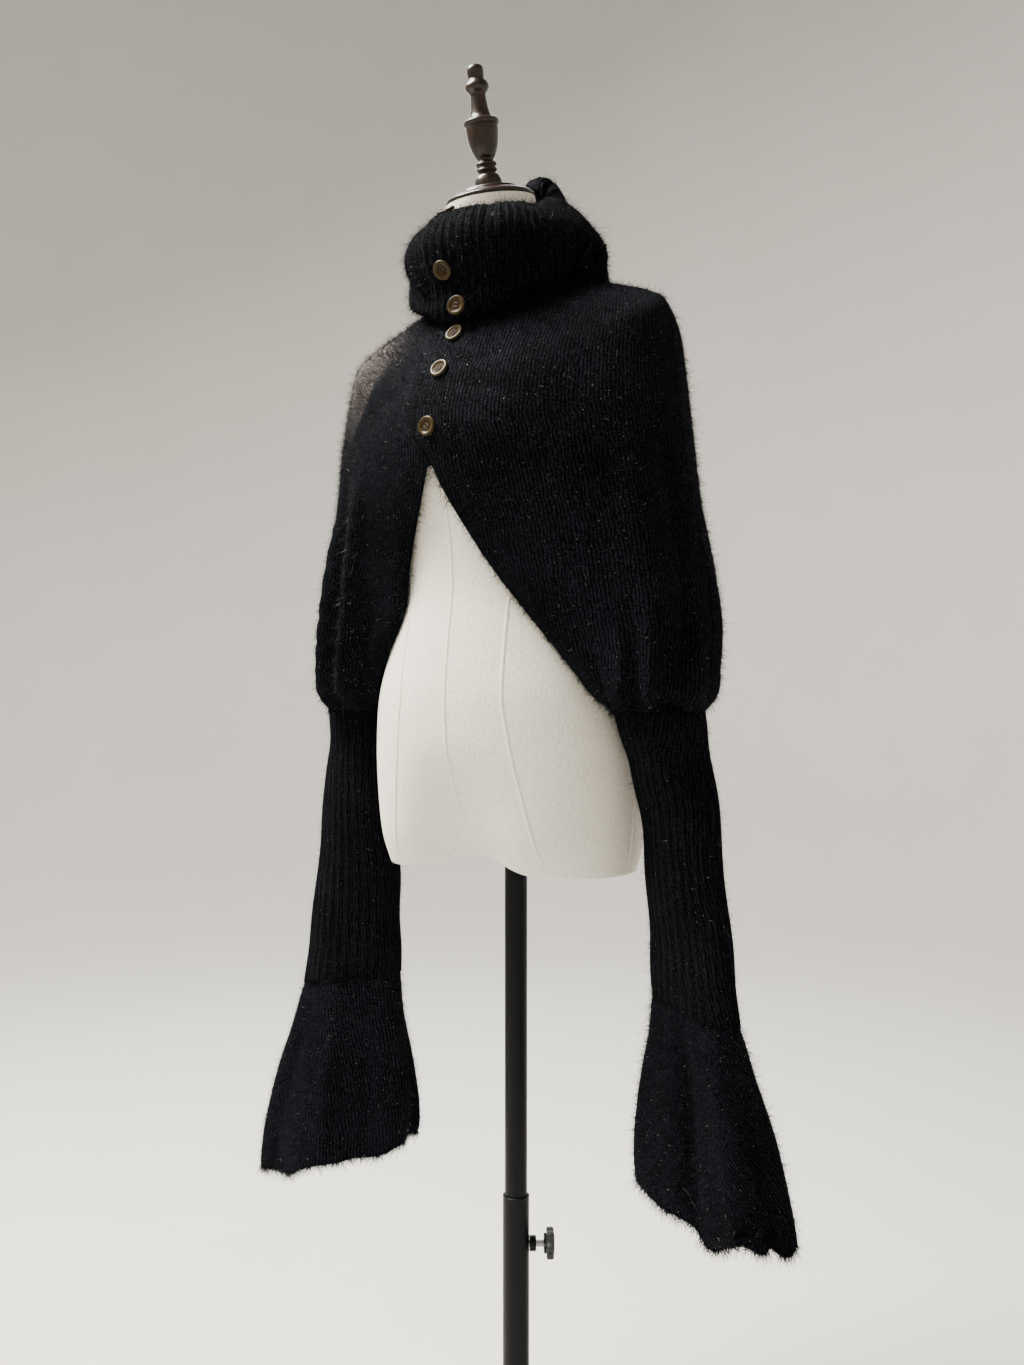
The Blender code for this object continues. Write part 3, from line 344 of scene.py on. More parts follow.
def spun(profile, steps=SPIN_STEPS):
    """A bmesh spun round Z from a line of radius and height pairs."""
    shape = bmesh.new()
    line = [shape.verts.new((radius, 0.0, height)) for radius, height in profile]
    for start, end in zip(line, line[1:]):
        shape.edges.new((start, end))
    bmesh.ops.spin(
        shape,
        geom=shape.verts[:] + shape.edges[:],
        cent=(0.0, 0.0, 0.0),
        axis=(0.0, 0.0, 1.0),
        angle=2 * math.pi,
        steps=steps,
        use_merge=True,
    )
    bmesh.ops.remove_doubles(shape, verts=shape.verts, dist=MERGE)
    bmesh.ops.recalc_face_normals(shape, faces=shape.faces)
    return shape


def rounded(profile, cuts=4):
    """The profile with a smooth curve through its points, so that turned swells have no corners."""
    points = np.array(profile, float)
    steps = np.linspace(0, len(points) - 1, (len(points) - 1) * cuts + 1)
    return [tuple(point) for point in eased(points, steps)]


def eased(rows, place):
    """Rows of a table at places between its rows, on a smooth curve through all of them."""
    rows = np.asarray(rows, float)
    place = np.asarray(place, float)
    index = np.clip(place.astype(int), 0, len(rows) - 2)
    part = (place - index)[..., None]
    a, b = rows[np.maximum(index - 1, 0)], rows[index]
    c, d = rows[index + 1], rows[np.minimum(index + 2, len(rows) - 1)]
    return b + 0.5 * part * (c - a + part * (2 * a - 5 * b + 4 * c - d + part * (3 * b - a - 3 * c + d)))


def finished(name, shape, material, body, slot, nodes=(), sharp=None, place=None):
    """Turns a bmesh into a smooth object that rides on a body and stands for CAD nodes; slot is not used."""
    if place:
        bmesh.ops.transform(shape, matrix=place, verts=shape.verts)
    mesh = bpy.data.meshes.new(name)
    shape.to_mesh(mesh)
    shape.free()
    mesh.materials.append(material)
    mesh.shade_smooth()
    if sharp:
        mesh.set_sharp_from_angle(angle=math.radians(sharp))
    piece = placed(name, mesh)
    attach(piece, body)
    if nodes:
        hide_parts(*nodes)
    return piece


print("spun pieces have", SPIN_STEPS, "steps")

# %% Spin the neck cap and finial
NECK_LEAN = math.radians(12.5)
NECK_TOP = Vector((0.0, -0.0495, 1.5455))
# radius and height above the neck's top
CAP_PROFILE = (
    (0.0, 0.0135), (0.0295, 0.0135), (0.0312, 0.0131), (0.0322, 0.0122), (0.0325, 0.0106), (0.033, 0.0099),
    (0.037, 0.0092), (0.04, 0.0085), (0.0432, 0.0074), (0.046, 0.006), (0.0481, 0.0048),
    (0.049, 0.004), (0.0493, 0.003), (0.0492, 0.0015), (0.0487, 0.0007), (0.0478, 0.0003), (0.0, 0.0003),
)
FINIAL_PROFILE = (
    (0.0, 0.1415), (0.0062, 0.1405), (0.0088, 0.1375), (0.0092, 0.1335), (0.0086, 0.1265), (0.011, 0.1235),
    (0.0128, 0.12), (0.0126, 0.1165), (0.01, 0.113), (0.0084, 0.1105), (0.0088, 0.104),
    (0.0097, 0.096), (0.0114, 0.0895), (0.0145, 0.086), (0.0186, 0.0842), (0.0193, 0.082),
    (0.0186, 0.0798), (0.0174, 0.079), (0.0178, 0.0765), (0.0168, 0.066), (0.0146, 0.056),
    (0.0112, 0.048), (0.0084, 0.0435), (0.0108, 0.041), (0.0115, 0.039), (0.0098, 0.0363),
    (0.0114, 0.0335), (0.009, 0.0302), (0.0124, 0.0278), (0.0146, 0.0235), (0.0155, 0.0185),
    (0.0158, 0.0138), (0.0, 0.0138),
)
lean = Matrix.Translation(NECK_TOP) @ Matrix.Rotation(NECK_LEAN, 4, "X")
FINIAL_LINE = [*rounded(FINIAL_PROFILE[:-1]), FINIAL_PROFILE[-1]]
wooden = {"material": varnished_wood, "body": "form", "slot": "turned_wood", "sharp": 50, "place": lean}
neck_cap = finished("turned_cap", spun(CAP_PROFILE), nodes=["neck_cap"], **wooden)
finial = finished("turned_finial", spun(FINIAL_LINE), nodes=["finial"], **wooden)
print("turned cap and finial:", len(neck_cap.data.vertices) + len(finial.data.vertices), "vertices")

# %% Measures and helpers of the stand
POLE_RADIUS, POLE_WALL, POLE_BOTTOM, POLE_TOP = 0.0127, 0.0016, 0.17, 0.93
TUBE_RADIUS, TUBE_WALL, TUBE_TOP = 0.015, 0.0017, 0.441
BASE_RADIUS, BASE_THICKNESS, HUB_RADIUS, HUB_HEIGHT = 0.2, 0.012, 0.023, 0.034
HUB_EDGE, HUB_EASE, RIM_EDGE, RIM_EASE, FOOT_EDGE = 0.002, 0.0006, 0.005, 0.0008, 0.001
SEAT_GAP = 0.0003
CLAMP_AZIMUTH, CLAMP_HEIGHT = math.radians(34.0), 0.3855
BOSS_RADIUS, BOSS_LENGTH, BOSS_EDGE, BOSS_EASE = 0.0085, 0.0075, 0.001, 0.0003
SCREW_RADIUS, SCREW_SHOWN, SCREW_PLAY, SCREW_POINT, SCREW_IN_KNOB = 0.004, 0.009, 0.0005, 0.001, 0.6
THREAD_PITCH, THREAD_DEPTH, THREAD_CREST = 0.00125, 0.0006, (0.35, 0.55)
KNOB_RADIUS, KNOB_LOBE, KNOB_LOBES, KNOB_THICKNESS = 0.0172, 0.0016, 6, 0.012


def tube_line(radius, wall, bottom, top, edge=0.0006):
    """A tube's section as a closed line with a small chamfer at its outer ends."""
    inner = radius - wall
    return (
        (radius - edge, top), (radius, top - edge), (radius, bottom + edge), (radius - edge, bottom),
        (inner, bottom), (inner, top), (radius - edge, top),
    )


def to_clamp(distance):
    """Moves a piece's Z axis onto the clamp screw's axis, at a distance from the pole's."""
    out = Vector((math.cos(CLAMP_AZIMUTH), math.sin(CLAMP_AZIMUTH), 0.0))
    turn = out.to_track_quat("Z", "Y").to_matrix().to_4x4()
    return Matrix.Translation(out * distance + Vector((0.0, 0.0, CLAMP_HEIGHT))) @ turn


def stand_piece(name, shape, node, body, material=powder_coat, slot="coated_steel", place=None):
    """A piece of the stand, moved to its place where it isn't made there."""
    finished(name, shape, material, body, slot, [node], sharp=40, place=place)
    print(name, "made for", node)


print("upper pole in the lower tube:", round(TUBE_TOP - POLE_BOTTOM, 3), "m")

# %% Spin the base, poles, boss and screw
hub_top = BASE_THICKNESS + HUB_HEIGHT
bore = TUBE_RADIUS + SEAT_GAP
BASE_LINE = (
    (HUB_RADIUS - HUB_EDGE, hub_top), (HUB_RADIUS - HUB_EASE, hub_top - HUB_EASE),
    (HUB_RADIUS, hub_top - HUB_EDGE), (HUB_RADIUS, BASE_THICKNESS + HUB_EDGE),
    (HUB_RADIUS + HUB_EASE, BASE_THICKNESS + HUB_EASE), (HUB_RADIUS + HUB_EDGE, BASE_THICKNESS),
    (BASE_RADIUS - RIM_EDGE, BASE_THICKNESS), (BASE_RADIUS - RIM_EDGE / 2, BASE_THICKNESS - RIM_EASE),
    (BASE_RADIUS - FOOT_EDGE, BASE_THICKNESS - HUB_EDGE), (BASE_RADIUS, BASE_THICKNESS - RIM_EDGE),
    (BASE_RADIUS, FOOT_EDGE), (BASE_RADIUS - FOOT_EDGE, 0.0), (0.0, 0.0), (0.0, BASE_THICKNESS),
    (bore, BASE_THICKNESS), (bore, hub_top - FOOT_EDGE), (bore + FOOT_EDGE, hub_top),
    (HUB_RADIUS - HUB_EDGE, hub_top),
)
stand_piece("base_disc", spun(BASE_LINE, steps=128), "base_plate", "stand")
lower_line = tube_line(TUBE_RADIUS, TUBE_WALL, BASE_THICKNESS + SEAT_GAP, TUBE_TOP)
stand_piece("lower_tube", spun(lower_line), "pole_lower", "stand")
upper_line = tube_line(POLE_RADIUS, POLE_WALL, POLE_BOTTOM, POLE_TOP)
stand_piece("upper_tube", spun(upper_line), "pole_upper", "upper_pole")
screw_hole = SCREW_RADIUS + SCREW_PLAY
BOSS_LINE = (
    (BOSS_RADIUS - BOSS_EDGE, BOSS_LENGTH), (BOSS_RADIUS - BOSS_EASE, BOSS_LENGTH - BOSS_EASE),
    (BOSS_RADIUS, BOSS_LENGTH - BOSS_EDGE), (BOSS_RADIUS, 0.0), (screw_hole, 0.0),
    (screw_hole, BOSS_LENGTH), (BOSS_RADIUS - BOSS_EDGE, BOSS_LENGTH),
)
boss_place = to_clamp(TUBE_RADIUS + SEAT_GAP)
stand_piece("welded_boss", spun(BOSS_LINE), "clamp_boss", "stand", place=boss_place)
knob_start = TUBE_RADIUS + BOSS_LENGTH + SCREW_SHOWN
screw_start = POLE_RADIUS + SEAT_GAP
screw_length = knob_start + KNOB_THICKNESS * SCREW_IN_KNOB - screw_start
screw_line = [(0.0, 0.0), (SCREW_RADIUS - SCREW_POINT, 0.0)]
for turn in range(int((screw_length - 2 * SCREW_POINT) / THREAD_PITCH)):
    foot = SCREW_POINT + turn * THREAD_PITCH
    screw_line.append((SCREW_RADIUS - THREAD_DEPTH, foot))
    screw_line += [(SCREW_RADIUS, foot + THREAD_PITCH * share) for share in THREAD_CREST]
screw_line += [(SCREW_RADIUS - THREAD_DEPTH, screw_length), (0.0, screw_length)]
screw, screw_place = spun(screw_line, steps=32), to_clamp(screw_start)
stand_piece("threaded_screw", screw, "clamp_screw", "knob", zinc_plate, "bright_steel", screw_place)

# %% [markdown]
# The knob is a moulded hand wheel with six shallow lobes. It starts as one flat disc, whose rim is drawn in
# between the lobes. The disc is extruded and its two rims are bevelled, as a mould rounds them. Then both
# faces are inset: the upper one rises a little, and the lower one runs down as a hub onto the screw.

# %% Model the lobed knob
KNOB_STEPS, KNOB_ROUND, KNOB_ROUND_STEPS = 96, 0.0022, 4
KNOB_FOOT, KNOB_BODY, KNOB_CROWN = KNOB_THICKNESS * 0.24, KNOB_THICKNESS * 0.7, KNOB_THICKNESS * 0.06
CAP_INSETS = (0.005, 0.0008)
RIM_ANGLE = 1.0

knob = bmesh.new()
bmesh.ops.create_circle(knob, cap_ends=True, cap_tris=False, segments=KNOB_STEPS, radius=KNOB_RADIUS)
for vert in knob.verts:
    angle = math.atan2(vert.co.y, vert.co.x)
    shrink = 1 + KNOB_LOBE / KNOB_RADIUS * (math.cos(KNOB_LOBES * angle) - 1)
    vert.co = (vert.co.x * shrink, vert.co.y * shrink, KNOB_FOOT)
raised = bmesh.ops.extrude_face_region(knob, geom=knob.faces[:])
top_verts = [item for item in raised["geom"] if isinstance(item, bmesh.types.BMVert)]
bmesh.ops.translate(knob, verts=top_verts, vec=(0.0, 0.0, KNOB_BODY))
rim_edges = [edge for edge in knob.edges if len(edge.link_faces) == 2 and edge.calc_face_angle() > RIM_ANGLE]
rim_edges = [edge for edge in rim_edges if abs(edge.verts[0].co.z - edge.verts[1].co.z) < MERGE]
bmesh.ops.bevel(
    knob,
    geom=rim_edges,
    offset=KNOB_ROUND,
    affect="EDGES",
    segments=KNOB_ROUND_STEPS,
    profile=0.5,
    material=-1,
    clamp_overlap=True,
)
caps = sorted(knob.faces, key=lambda face: face.calc_area())[-2:]
caps.sort(key=lambda face: face.calc_center_median().z)
for cap, shift in zip(caps, (-KNOB_FOOT, KNOB_CROWN)):
    for inset in CAP_INSETS:
        bmesh.ops.inset_individual(knob, faces=[cap], thickness=inset, depth=0.0)
    bmesh.ops.translate(knob, verts=cap.verts, vec=(0.0, 0.0, shift))
bmesh.ops.recalc_face_normals(knob, faces=knob.faces)
knob_place = to_clamp(knob_start)
stand_piece("lobed_knob", knob, "clamp_knob", "knob", moulded_plastic, "moulded_plastic", knob_place)

# %% [markdown]
# ## The dress form
# The form is a padded body under linen, cut in panels. It starts as a flat grid, the opened-out cover,
# whose rows are level sections of the body. Each row is closed to an oval, a little squarer than an ellipse
# at the hips and the chest. The cover turns under at the lower edge, rises in the middle, and ends in a
# socket round the pole.

# %% Sections of the form
# height, half width, front, back, squareness, lean in degrees
FORM_ROWS = (
    (0.816, 0.148, 0.106, 0.084, 2.3, 0.0), (0.85, 0.155, 0.119, 0.095, 2.3, 0.0),
    (0.9, 0.158, 0.126, 0.1, 2.3, 0.0), (0.95, 0.157, 0.131, 0.097, 2.25, 0.0),
    (1.005, 0.149, 0.1335, 0.084, 2.2, 0.0), (1.06, 0.131, 0.128, 0.067, 2.15, 0.0),
    (1.115, 0.115, 0.1205, 0.055, 2.1, 0.0), (1.165, 0.118, 0.1235, 0.06, 2.15, 0.0),
    (1.22, 0.129, 0.1355, 0.075, 2.3, 0.0), (1.275, 0.141, 0.149, 0.086, 2.45, 0.0),
    (1.315, 0.156, 0.142, 0.091, 2.35, 0.0), (1.35, 0.174, 0.122, 0.091, 2.2, 0.0),
    (1.382, 0.186, 0.1, 0.083, 2.05, 0.0), (1.4, 0.185, 0.088, 0.075, 1.95, 0.0),
    (1.412, 0.173, 0.081, 0.067, 1.9, 0.0), (1.424, 0.144, 0.077, 0.056, 1.9, 0.0),
    (1.436, 0.103, 0.0755, 0.045, 1.9, 1.0), (1.45, 0.07, 0.0765, 0.037, 1.95, 3.0),
    (1.468, 0.058, 0.0805, 0.031, 2.0, 6.0), (1.505, 0.0535, 0.09, 0.016, 2.0, 10.0),
    (1.5455, 0.0485, 0.098, -0.001, 2.0, 12.5),
)
FORM_ARCH, FORM_ARCH_HEIGHT, FORM_ARCH_HALF_WIDTH = 0.018, 0.084, 0.055
FORM_CLEFT, FORM_CLEFT_HEIGHT = 0.034, 0.149
FORM_COLUMNS, FORM_LINES = 128, 121
print("form sections:", len(FORM_ROWS))

# %% Cloth helpers: grids, normals and maps
NO_LENGTH = 1e-9


def ramp(value, start, end):
    """0 at start, 1 at end, with a soft change between them."""
    part = np.clip((np.asarray(value, float) - start) / (end - start), 0.0, 1.0)
    return part * part * (3 - 2 * part)


def unit(vectors):
    """Vectors made one metre long; those with no length stay as they are."""
    return vectors / np.maximum(np.linalg.norm(vectors, axis=-1, keepdims=True), NO_LENGTH)


def xyz(x, y, z):
    """Points from their three coordinates, each an array or one number."""
    return np.stack(np.broadcast_arrays(x, y, z), -1)


def flat_grid(columns, rows):
    """A flat grid of vertices, and for each vertex its column and row."""
    shape = bmesh.new()
    bmesh.ops.create_grid(shape, x_segments=columns - 1, y_segments=rows - 1, size=0.5)
    column = [round((vert.co.x + 0.5) * (columns - 1)) for vert in shape.verts]
    row = [round((vert.co.y + 0.5) * (rows - 1)) for vert in shape.verts]
    return shape, column, row


def run_lengths(points, axis):
    """How far along a grid's rows or columns each point lies, in metres."""
    steps = np.linalg.norm(np.diff(points, axis=axis), axis=-1)
    return np.concatenate([np.zeros_like(np.take(steps, [0], axis)), np.cumsum(steps, axis)], axis)


def run_map(points):
    """The flat map of a grid: how far across and how far along each point lies."""
    return run_lengths(points, 1), run_lengths(points, 0)


def worn(points, cut_u, cut_v, closed=False):
    """Moves a flat grid to its worn place. The map keeps the flat place of every point, in metres."""
    rows, columns = points.shape[:2]
    shape, column, row = flat_grid(columns, rows)
    cut_map = shape.loops.layers.uv.new(CUT_MAP)
    shape.verts.index_update()
    for face in shape.faces:
        for loop in face.loops:
            i, j = column[loop.vert.index], row[loop.vert.index]
            loop[cut_map].uv = (cut_u[j, i], cut_v[j, i])
    for vert in shape.verts:
        vert.co = points[row[vert.index], column[vert.index]]
    if closed:
        bmesh.ops.remove_doubles(shape, verts=shape.verts, dist=MERGE)
    return shape


def outward(points, closed=False):
    """The normal of a grid at each point: across its columns by along its rows."""
    across = np.gradient(points, axis=1)
    if closed:
        across[:, 0] = across[:, -1] = points[:, 1] - points[:, -2]
    return unit(np.cross(across, np.gradient(points, axis=0)))


def form_sections(rows, angles, shrink):
    """Points of the form's sections, one table row and one shrink factor for each section."""
    z, half_width, front, back, square, lean_deg = [column[:, None] for column in np.asarray(rows).T]
    shrink = np.asarray(shrink, float)[:, None]
    cosine, sine = np.cos(angles)[None], np.sin(angles)[None]
    x = np.sign(cosine) * np.abs(cosine) ** (2 / square) * half_width
    y = np.sign(sine) * np.abs(sine) ** (2 / square) * (back + front) / 2
    lowest = FORM_ROWS[0][0]
    cleft = FORM_CLEFT * np.exp(-((x / FORM_ARCH_HALF_WIDTH) ** 2))
    cleft = cleft * ramp(z, lowest + FORM_CLEFT_HEIGHT, lowest)
    y = (y - np.sign(y) * np.minimum(cleft, np.abs(y))) * shrink
    x = x * shrink
    arch = FORM_ARCH * np.exp(-((x / FORM_ARCH_HALF_WIDTH) ** 2))
    rise = arch * ramp(z, lowest + FORM_ARCH_HEIGHT, lowest)
    level = z + rise + y * np.tan(np.radians(lean_deg))
    return xyz(x, (back - front) / 2 + y, level)


print("cloth helpers ready")

# %% Shape the form's cover
# share of the lower edge's size, and drop
TURNED_UNDER = ((0.35, 0.0), (0.72, 0.0), (0.9, -0.0012), (0.965, -0.0014), (0.989, -0.0008))
NECK_CLOSED = (0.94, 0.5, 0.0)
SOCKET_PLAY = 0.0005

angles = np.linspace(0, 2 * math.pi, FORM_COLUMNS + 1)
cover_rows = eased(FORM_ROWS, np.linspace(0, len(FORM_ROWS) - 1, FORM_LINES))
lower_edge, neck_edge = np.array(FORM_ROWS[0]), np.array(FORM_ROWS[-1])
under = [lower_edge + np.array([drop, 0, 0, 0, 0, 0]) for _, drop in TURNED_UNDER]
top = [neck_edge for _ in NECK_CLOSED]
shrinks = [share for share, _ in TURNED_UNDER] + [1.0] * FORM_LINES + [*NECK_CLOSED]
cover = form_sections([*under, *cover_rows, *top], angles, shrinks)
socket_radius = POLE_RADIUS + SOCKET_PLAY
mouth = FORM_ROWS[0][0] + FORM_ARCH
socket_x, socket_y = np.cos(angles) * socket_radius, np.sin(angles) * socket_radius
socket_rings = [xyz(socket_x, socket_y, z) for z in (POLE_TOP + SOCKET_PLAY, mouth)]
closed_end = socket_rings[0] * np.array([0, 0, 1])
cover = np.concatenate([np.stack([closed_end, *socket_rings]), cover])
shape = worn(cover, *run_map(cover), closed=True)
bmesh.ops.recalc_face_normals(shape, faces=shape.faces)
form_cover = finished("linen_form", shape, linen, "form", "linen", ["torso"], sharp=60)
print("linen form:", len(form_cover.data.polygons), "faces")

# %% [markdown]
# ### Raised seams of the cover
# The cover's panels meet in felled seams: one down the centre, a princess seam on each side of it, front
# and back, and one down each flank. The folded edges stand up as narrow welts that catch the light on one
# side and cast a thin shadow on the other. Each is a strip of flat grid, half round across, laid along its
# seam line.

# %% Lay the welts on the cover
WELT_HALF_WIDTH, WELT_HEIGHT, WELT_SINK = 0.0023, 0.0013, 0.0004
WELT_STEPS, WELT_ENDS, WELT_TOP = 9, 4, 1.44
WELT_LOOK = 0.02
# height and distance of a princess seam from the centre
PRINCESS_LINE = (
    (0.8, 0.1), (0.82, 0.097), (0.94, 0.075), (1.0, 0.066), (1.1, 0.064), (1.28, 0.08), (1.46, 0.06),
)


def joined(shapes):
    """One bmesh made of several; the others are freed."""
    whole = shapes[0]
    for part in shapes[1:]:
        mesh = bpy.data.meshes.new("part")
        part.to_mesh(mesh)
        part.free()
        whole.from_mesh(mesh)
        bpy.data.meshes.remove(mesh)
    return whole


def welt(rows, reach, side, facing):
    """A welt along a seam that lies this far from the centre: side 1 is +X, facing 1 is the back."""
    slope = np.arccos(np.clip(reach / rows[:, 1], 0.0, 1.0) ** (rows[:, 4] / 2))
    angles = facing * (slope if side > 0 else math.pi - slope)
    looks = np.array([-WELT_LOOK, 0.0, WELT_LOOK])
    spots = np.concatenate([form_sections([row], angle + looks, [1.0]) for row, angle in zip(rows, angles)])
    middle, across = spots[:, 1], unit(spots[:, 2] - spots[:, 0])
    normal = unit(np.cross(across, np.gradient(middle, axis=0)))
    line = np.arange(len(rows))
    ends = ramp(line, 0, WELT_ENDS) * ramp(line, len(rows) - 1, len(rows) - 1 - WELT_ENDS)
    share = np.linspace(-1, 1, WELT_STEPS)[None, :, None]
    rise = WELT_HEIGHT * np.sqrt(1 - share**2) * ends[:, None, None] - WELT_SINK
    points = middle[:, None] + across[:, None] * share * WELT_HALF_WIDTH + normal[:, None] * rise
    return worn(points, *run_map(points))


welt_rows = cover_rows[cover_rows[:, 0] < WELT_TOP]
princess = np.interp(welt_rows[:, 0], *np.array(PRINCESS_LINE).T)
centre_seams = [welt(welt_rows, 0.0, 1, facing) for facing in (-1, 1)]
princess_seams = [welt(welt_rows, princess, side, facing) for side in (-1, 1) for facing in (-1, 1)]
flank_seams = [welt(welt_rows, welt_rows[:, 1], side, 1) for side in (-1, 1)]
welts = joined(centre_seams + princess_seams + flank_seams)
linen_welts = finished("linen_welts", welts, linen, "form", "linen")
print("welts:", len(linen_welts.data.polygons), "faces")

# %% [markdown]
# ## The cape's body
# Two fronts and a back hang from the neckline to the cuffs. Each is knitted flat, so each starts as a flat
# grid and is moved to its worn place: a row of the grid is a ring round the body, and its points lie on a
# soft curve from over the arm to the front edge. The same few numbers drive the CAD solids, so the cloth
# lies on them. A cloth simulation was not needed, because a knit this light hangs in few, broad folds, and
# they are placed one by one as soft ridges and troughs of their own sizes, read off the photo.

# %% Tables of the body's rings
# point over the arm, then how far its handles reach to the front, to the back and down
ARM_ROWS = (
    (0.076, -0.02, 1.459, 0.044, 0.042, 0.012), (0.13, -0.017, 1.442, 0.048, 0.05, 0.024),
    (0.183, -0.015, 1.4225, 0.052, 0.056, 0.026), (0.199, -0.016, 1.404, 0.056, 0.06, 0.02),
    (0.206, -0.018, 1.352, 0.062, 0.062, 0.008), (0.213, -0.02, 1.295, 0.066, 0.062, 0.0),
    (0.225, -0.022, 1.22, 0.062, 0.062, 0.0), (0.244, -0.025, 1.14, 0.056, 0.06, 0.0),
    (0.254, -0.029, 1.075, 0.052, 0.058, 0.0), (0.2535, -0.037, 1.022, 0.05, 0.054, 0.0),
    (0.25, -0.045, 0.988, 0.05, 0.05, 0.0),
)
# point on the front edge, and how far the cloth turns back there in degrees
BUTTONED_EDGE = (
    (0.0, -0.101, 1.408, 0.0), (0.0, -0.1155, 1.383, 0.0), (0.0, -0.134, 1.35, 0.0),
    (0.0, -0.142, 1.334, 0.0), (0.0, -0.1535, 1.303, 0.0), (0.0, -0.157, 1.27, 0.0),
)
OPEN_EDGE = {
    "left": (
        (0.006, -0.148, 1.225, 0.0), (0.045, -0.124, 1.146, 4.0), (0.096, -0.101, 1.074, 14.0),
        (0.136, -0.082, 1.021, 40.0), (0.1545, -0.048, 0.988, 90.0),
    ),
    "right": (
        (0.017, -0.147, 1.225, 0.0), (0.059, -0.121, 1.146, 4.0), (0.082, -0.111, 1.07, 14.0),
        (0.124, -0.09, 1.017, 40.0), (0.1545, -0.048, 0.988, 90.0),
    ),
}
# hollow behind the arm, its turn in degrees, then depth and height of the centre back
BACK_ROWS = (
    (0.054, 0.034, 1.459, 0.0, 0.057, 1.459), (0.085, 0.066, 1.425, 0.0, 0.085, 1.423),
    (0.115, 0.083, 1.385, 0.0, 0.1, 1.38), (0.126, 0.088, 1.36, 0.0, 0.104, 1.356),
    (0.135, 0.092, 1.315, 0.0, 0.106, 1.312), (0.142, 0.093, 1.265, 0.0, 0.105, 1.264),
    (0.15, 0.092, 1.2, 0.0, 0.1035, 1.204), (0.159, 0.088, 1.13, 0.0, 0.103, 1.141),
    (0.164, 0.076, 1.072, 8.0, 0.104, 1.088), (0.164, 0.042, 1.025, 40.0, 0.105, 1.045),
    (0.16, -0.038, 0.988, 86.0, 0.105, 1.015),
)
LAST_RING = len(ARM_ROWS) - 1
print("body rings:", LAST_RING + 1)

# %% Helpers to find a point on the body
SLEEVE_SHIFT, SHIFT_RINGS = {"left": np.zeros(3), "right": np.array([0.001, 0.022, 0.0])}, 4
HANDLE, HOLLOW_OUT, HOLLOW_IN, CUFF_REACH = 0.56, 0.45, 0.4, 0.05
MIRROR = np.array([-1.0, 1.0, 1.0])


def bezier(start, start_handle, end_handle, end, part):
    """Points on a soft curve between two ends, each with a handle that it sets out along."""
    part = np.asarray(part, float)[..., None]
    rest = 1 - part
    near = start * rest**3 + start_handle * (3 * rest * rest * part)
    return near + end_handle * (3 * rest * part * part) + end * part**3


def shifted(rows, side, place):
    """The first three columns of table rows as points, moved with a side's sleeve near the cuff."""
    return rows[..., :3] + SLEEVE_SHIFT[side] * ramp(place, LAST_RING - SHIFT_RINGS, LAST_RING)[..., None]


def paired(place, part):
    """Two arrays or numbers, made the same shape."""
    return np.broadcast_arrays(np.asarray(place, float), np.asarray(part, float))


def front_point(side, place, part):
    """Points of a front, as on the wearer's left: part 0 is over the arm, 1 the front edge, more the lap."""
    place, part = paired(place, part)
    arm, edge = eased(ARM_ROWS, place), eased(BUTTONED_EDGE + OPEN_EDGE[side], place)
    arm_point, edge_point = shifted(arm, side, place), shifted(edge, side, place)
    reach, turn = HANDLE * (arm[..., 0] - edge[..., 0]), np.radians(edge[..., 3])
    edge_handle = edge_point + xyz(reach * np.cos(turn), -reach * np.sin(turn), 0.0)
    arm_handle = arm_point + xyz(0.0, -arm[..., 3], -arm[..., 5])
    past = part > 1
    points = bezier(arm_point, arm_handle, edge_handle, edge_point, np.where(past, 2 - part, part))
    return np.where(past[..., None], points * MIRROR, points)


def back_point(side, place, part):
    """Points of the back, as on the wearer's left: part 0 is over the arm, 0.5 the hollow, 1 the centre."""
    place, part = paired(place, part)
    arm, back = eased(ARM_ROWS, place), eased(BACK_ROWS, place)
    arm_point, hollow = shifted(arm, side, place), shifted(back, side, place)
    turn, turned = np.radians(back[..., 3]), ramp(back[..., 3], 0, 90)
    centre = xyz(0.0, back[..., 4], back[..., 5])
    reach = HOLLOW_OUT * (arm[..., 0] - back[..., 0]) * (1 - turned) + CUFF_REACH * turned
    handle = hollow + xyz(reach * np.cos(turn), reach * np.sin(turn), 0.0)
    arm_handle = arm_point + xyz(0.0, arm[..., 4], -arm[..., 5])
    outer = bezier(arm_point, arm_handle, handle, hollow, np.clip(part * 2, 0, 1))
    reach = HOLLOW_IN * back[..., 0]
    handle = hollow + xyz(-reach * np.cos(turn), reach * np.sin(turn), 0.0)
    centre_handle = centre + xyz(HANDLE * back[..., 0], 0.0, 0.0)
    inner = bezier(hollow, handle, centre_handle, centre, np.clip(part * 2 - 1, 0, 1))
    return np.where((part <= 0.5)[..., None], outer, inner)


chest = [np.round(find("left", 5, 1), 3).tolist() for find in (front_point, back_point)]
print("centre front and back at the chest:", chest)

# %% [markdown]
# ### Folds
# A fold is a line on the cloth from one place to another, with its own height, width and bow. Near that
# line the cloth swells out or sinks in, most in the middle of the line and softly to both ends. Heights
# above 0 are ridges, and the troughs beside them are rows of their own, so no two folds are alike.

# %% Fold tables and the fold helper
FOLD_POINTS, FOLD_FULLNESS = 28, 0.7
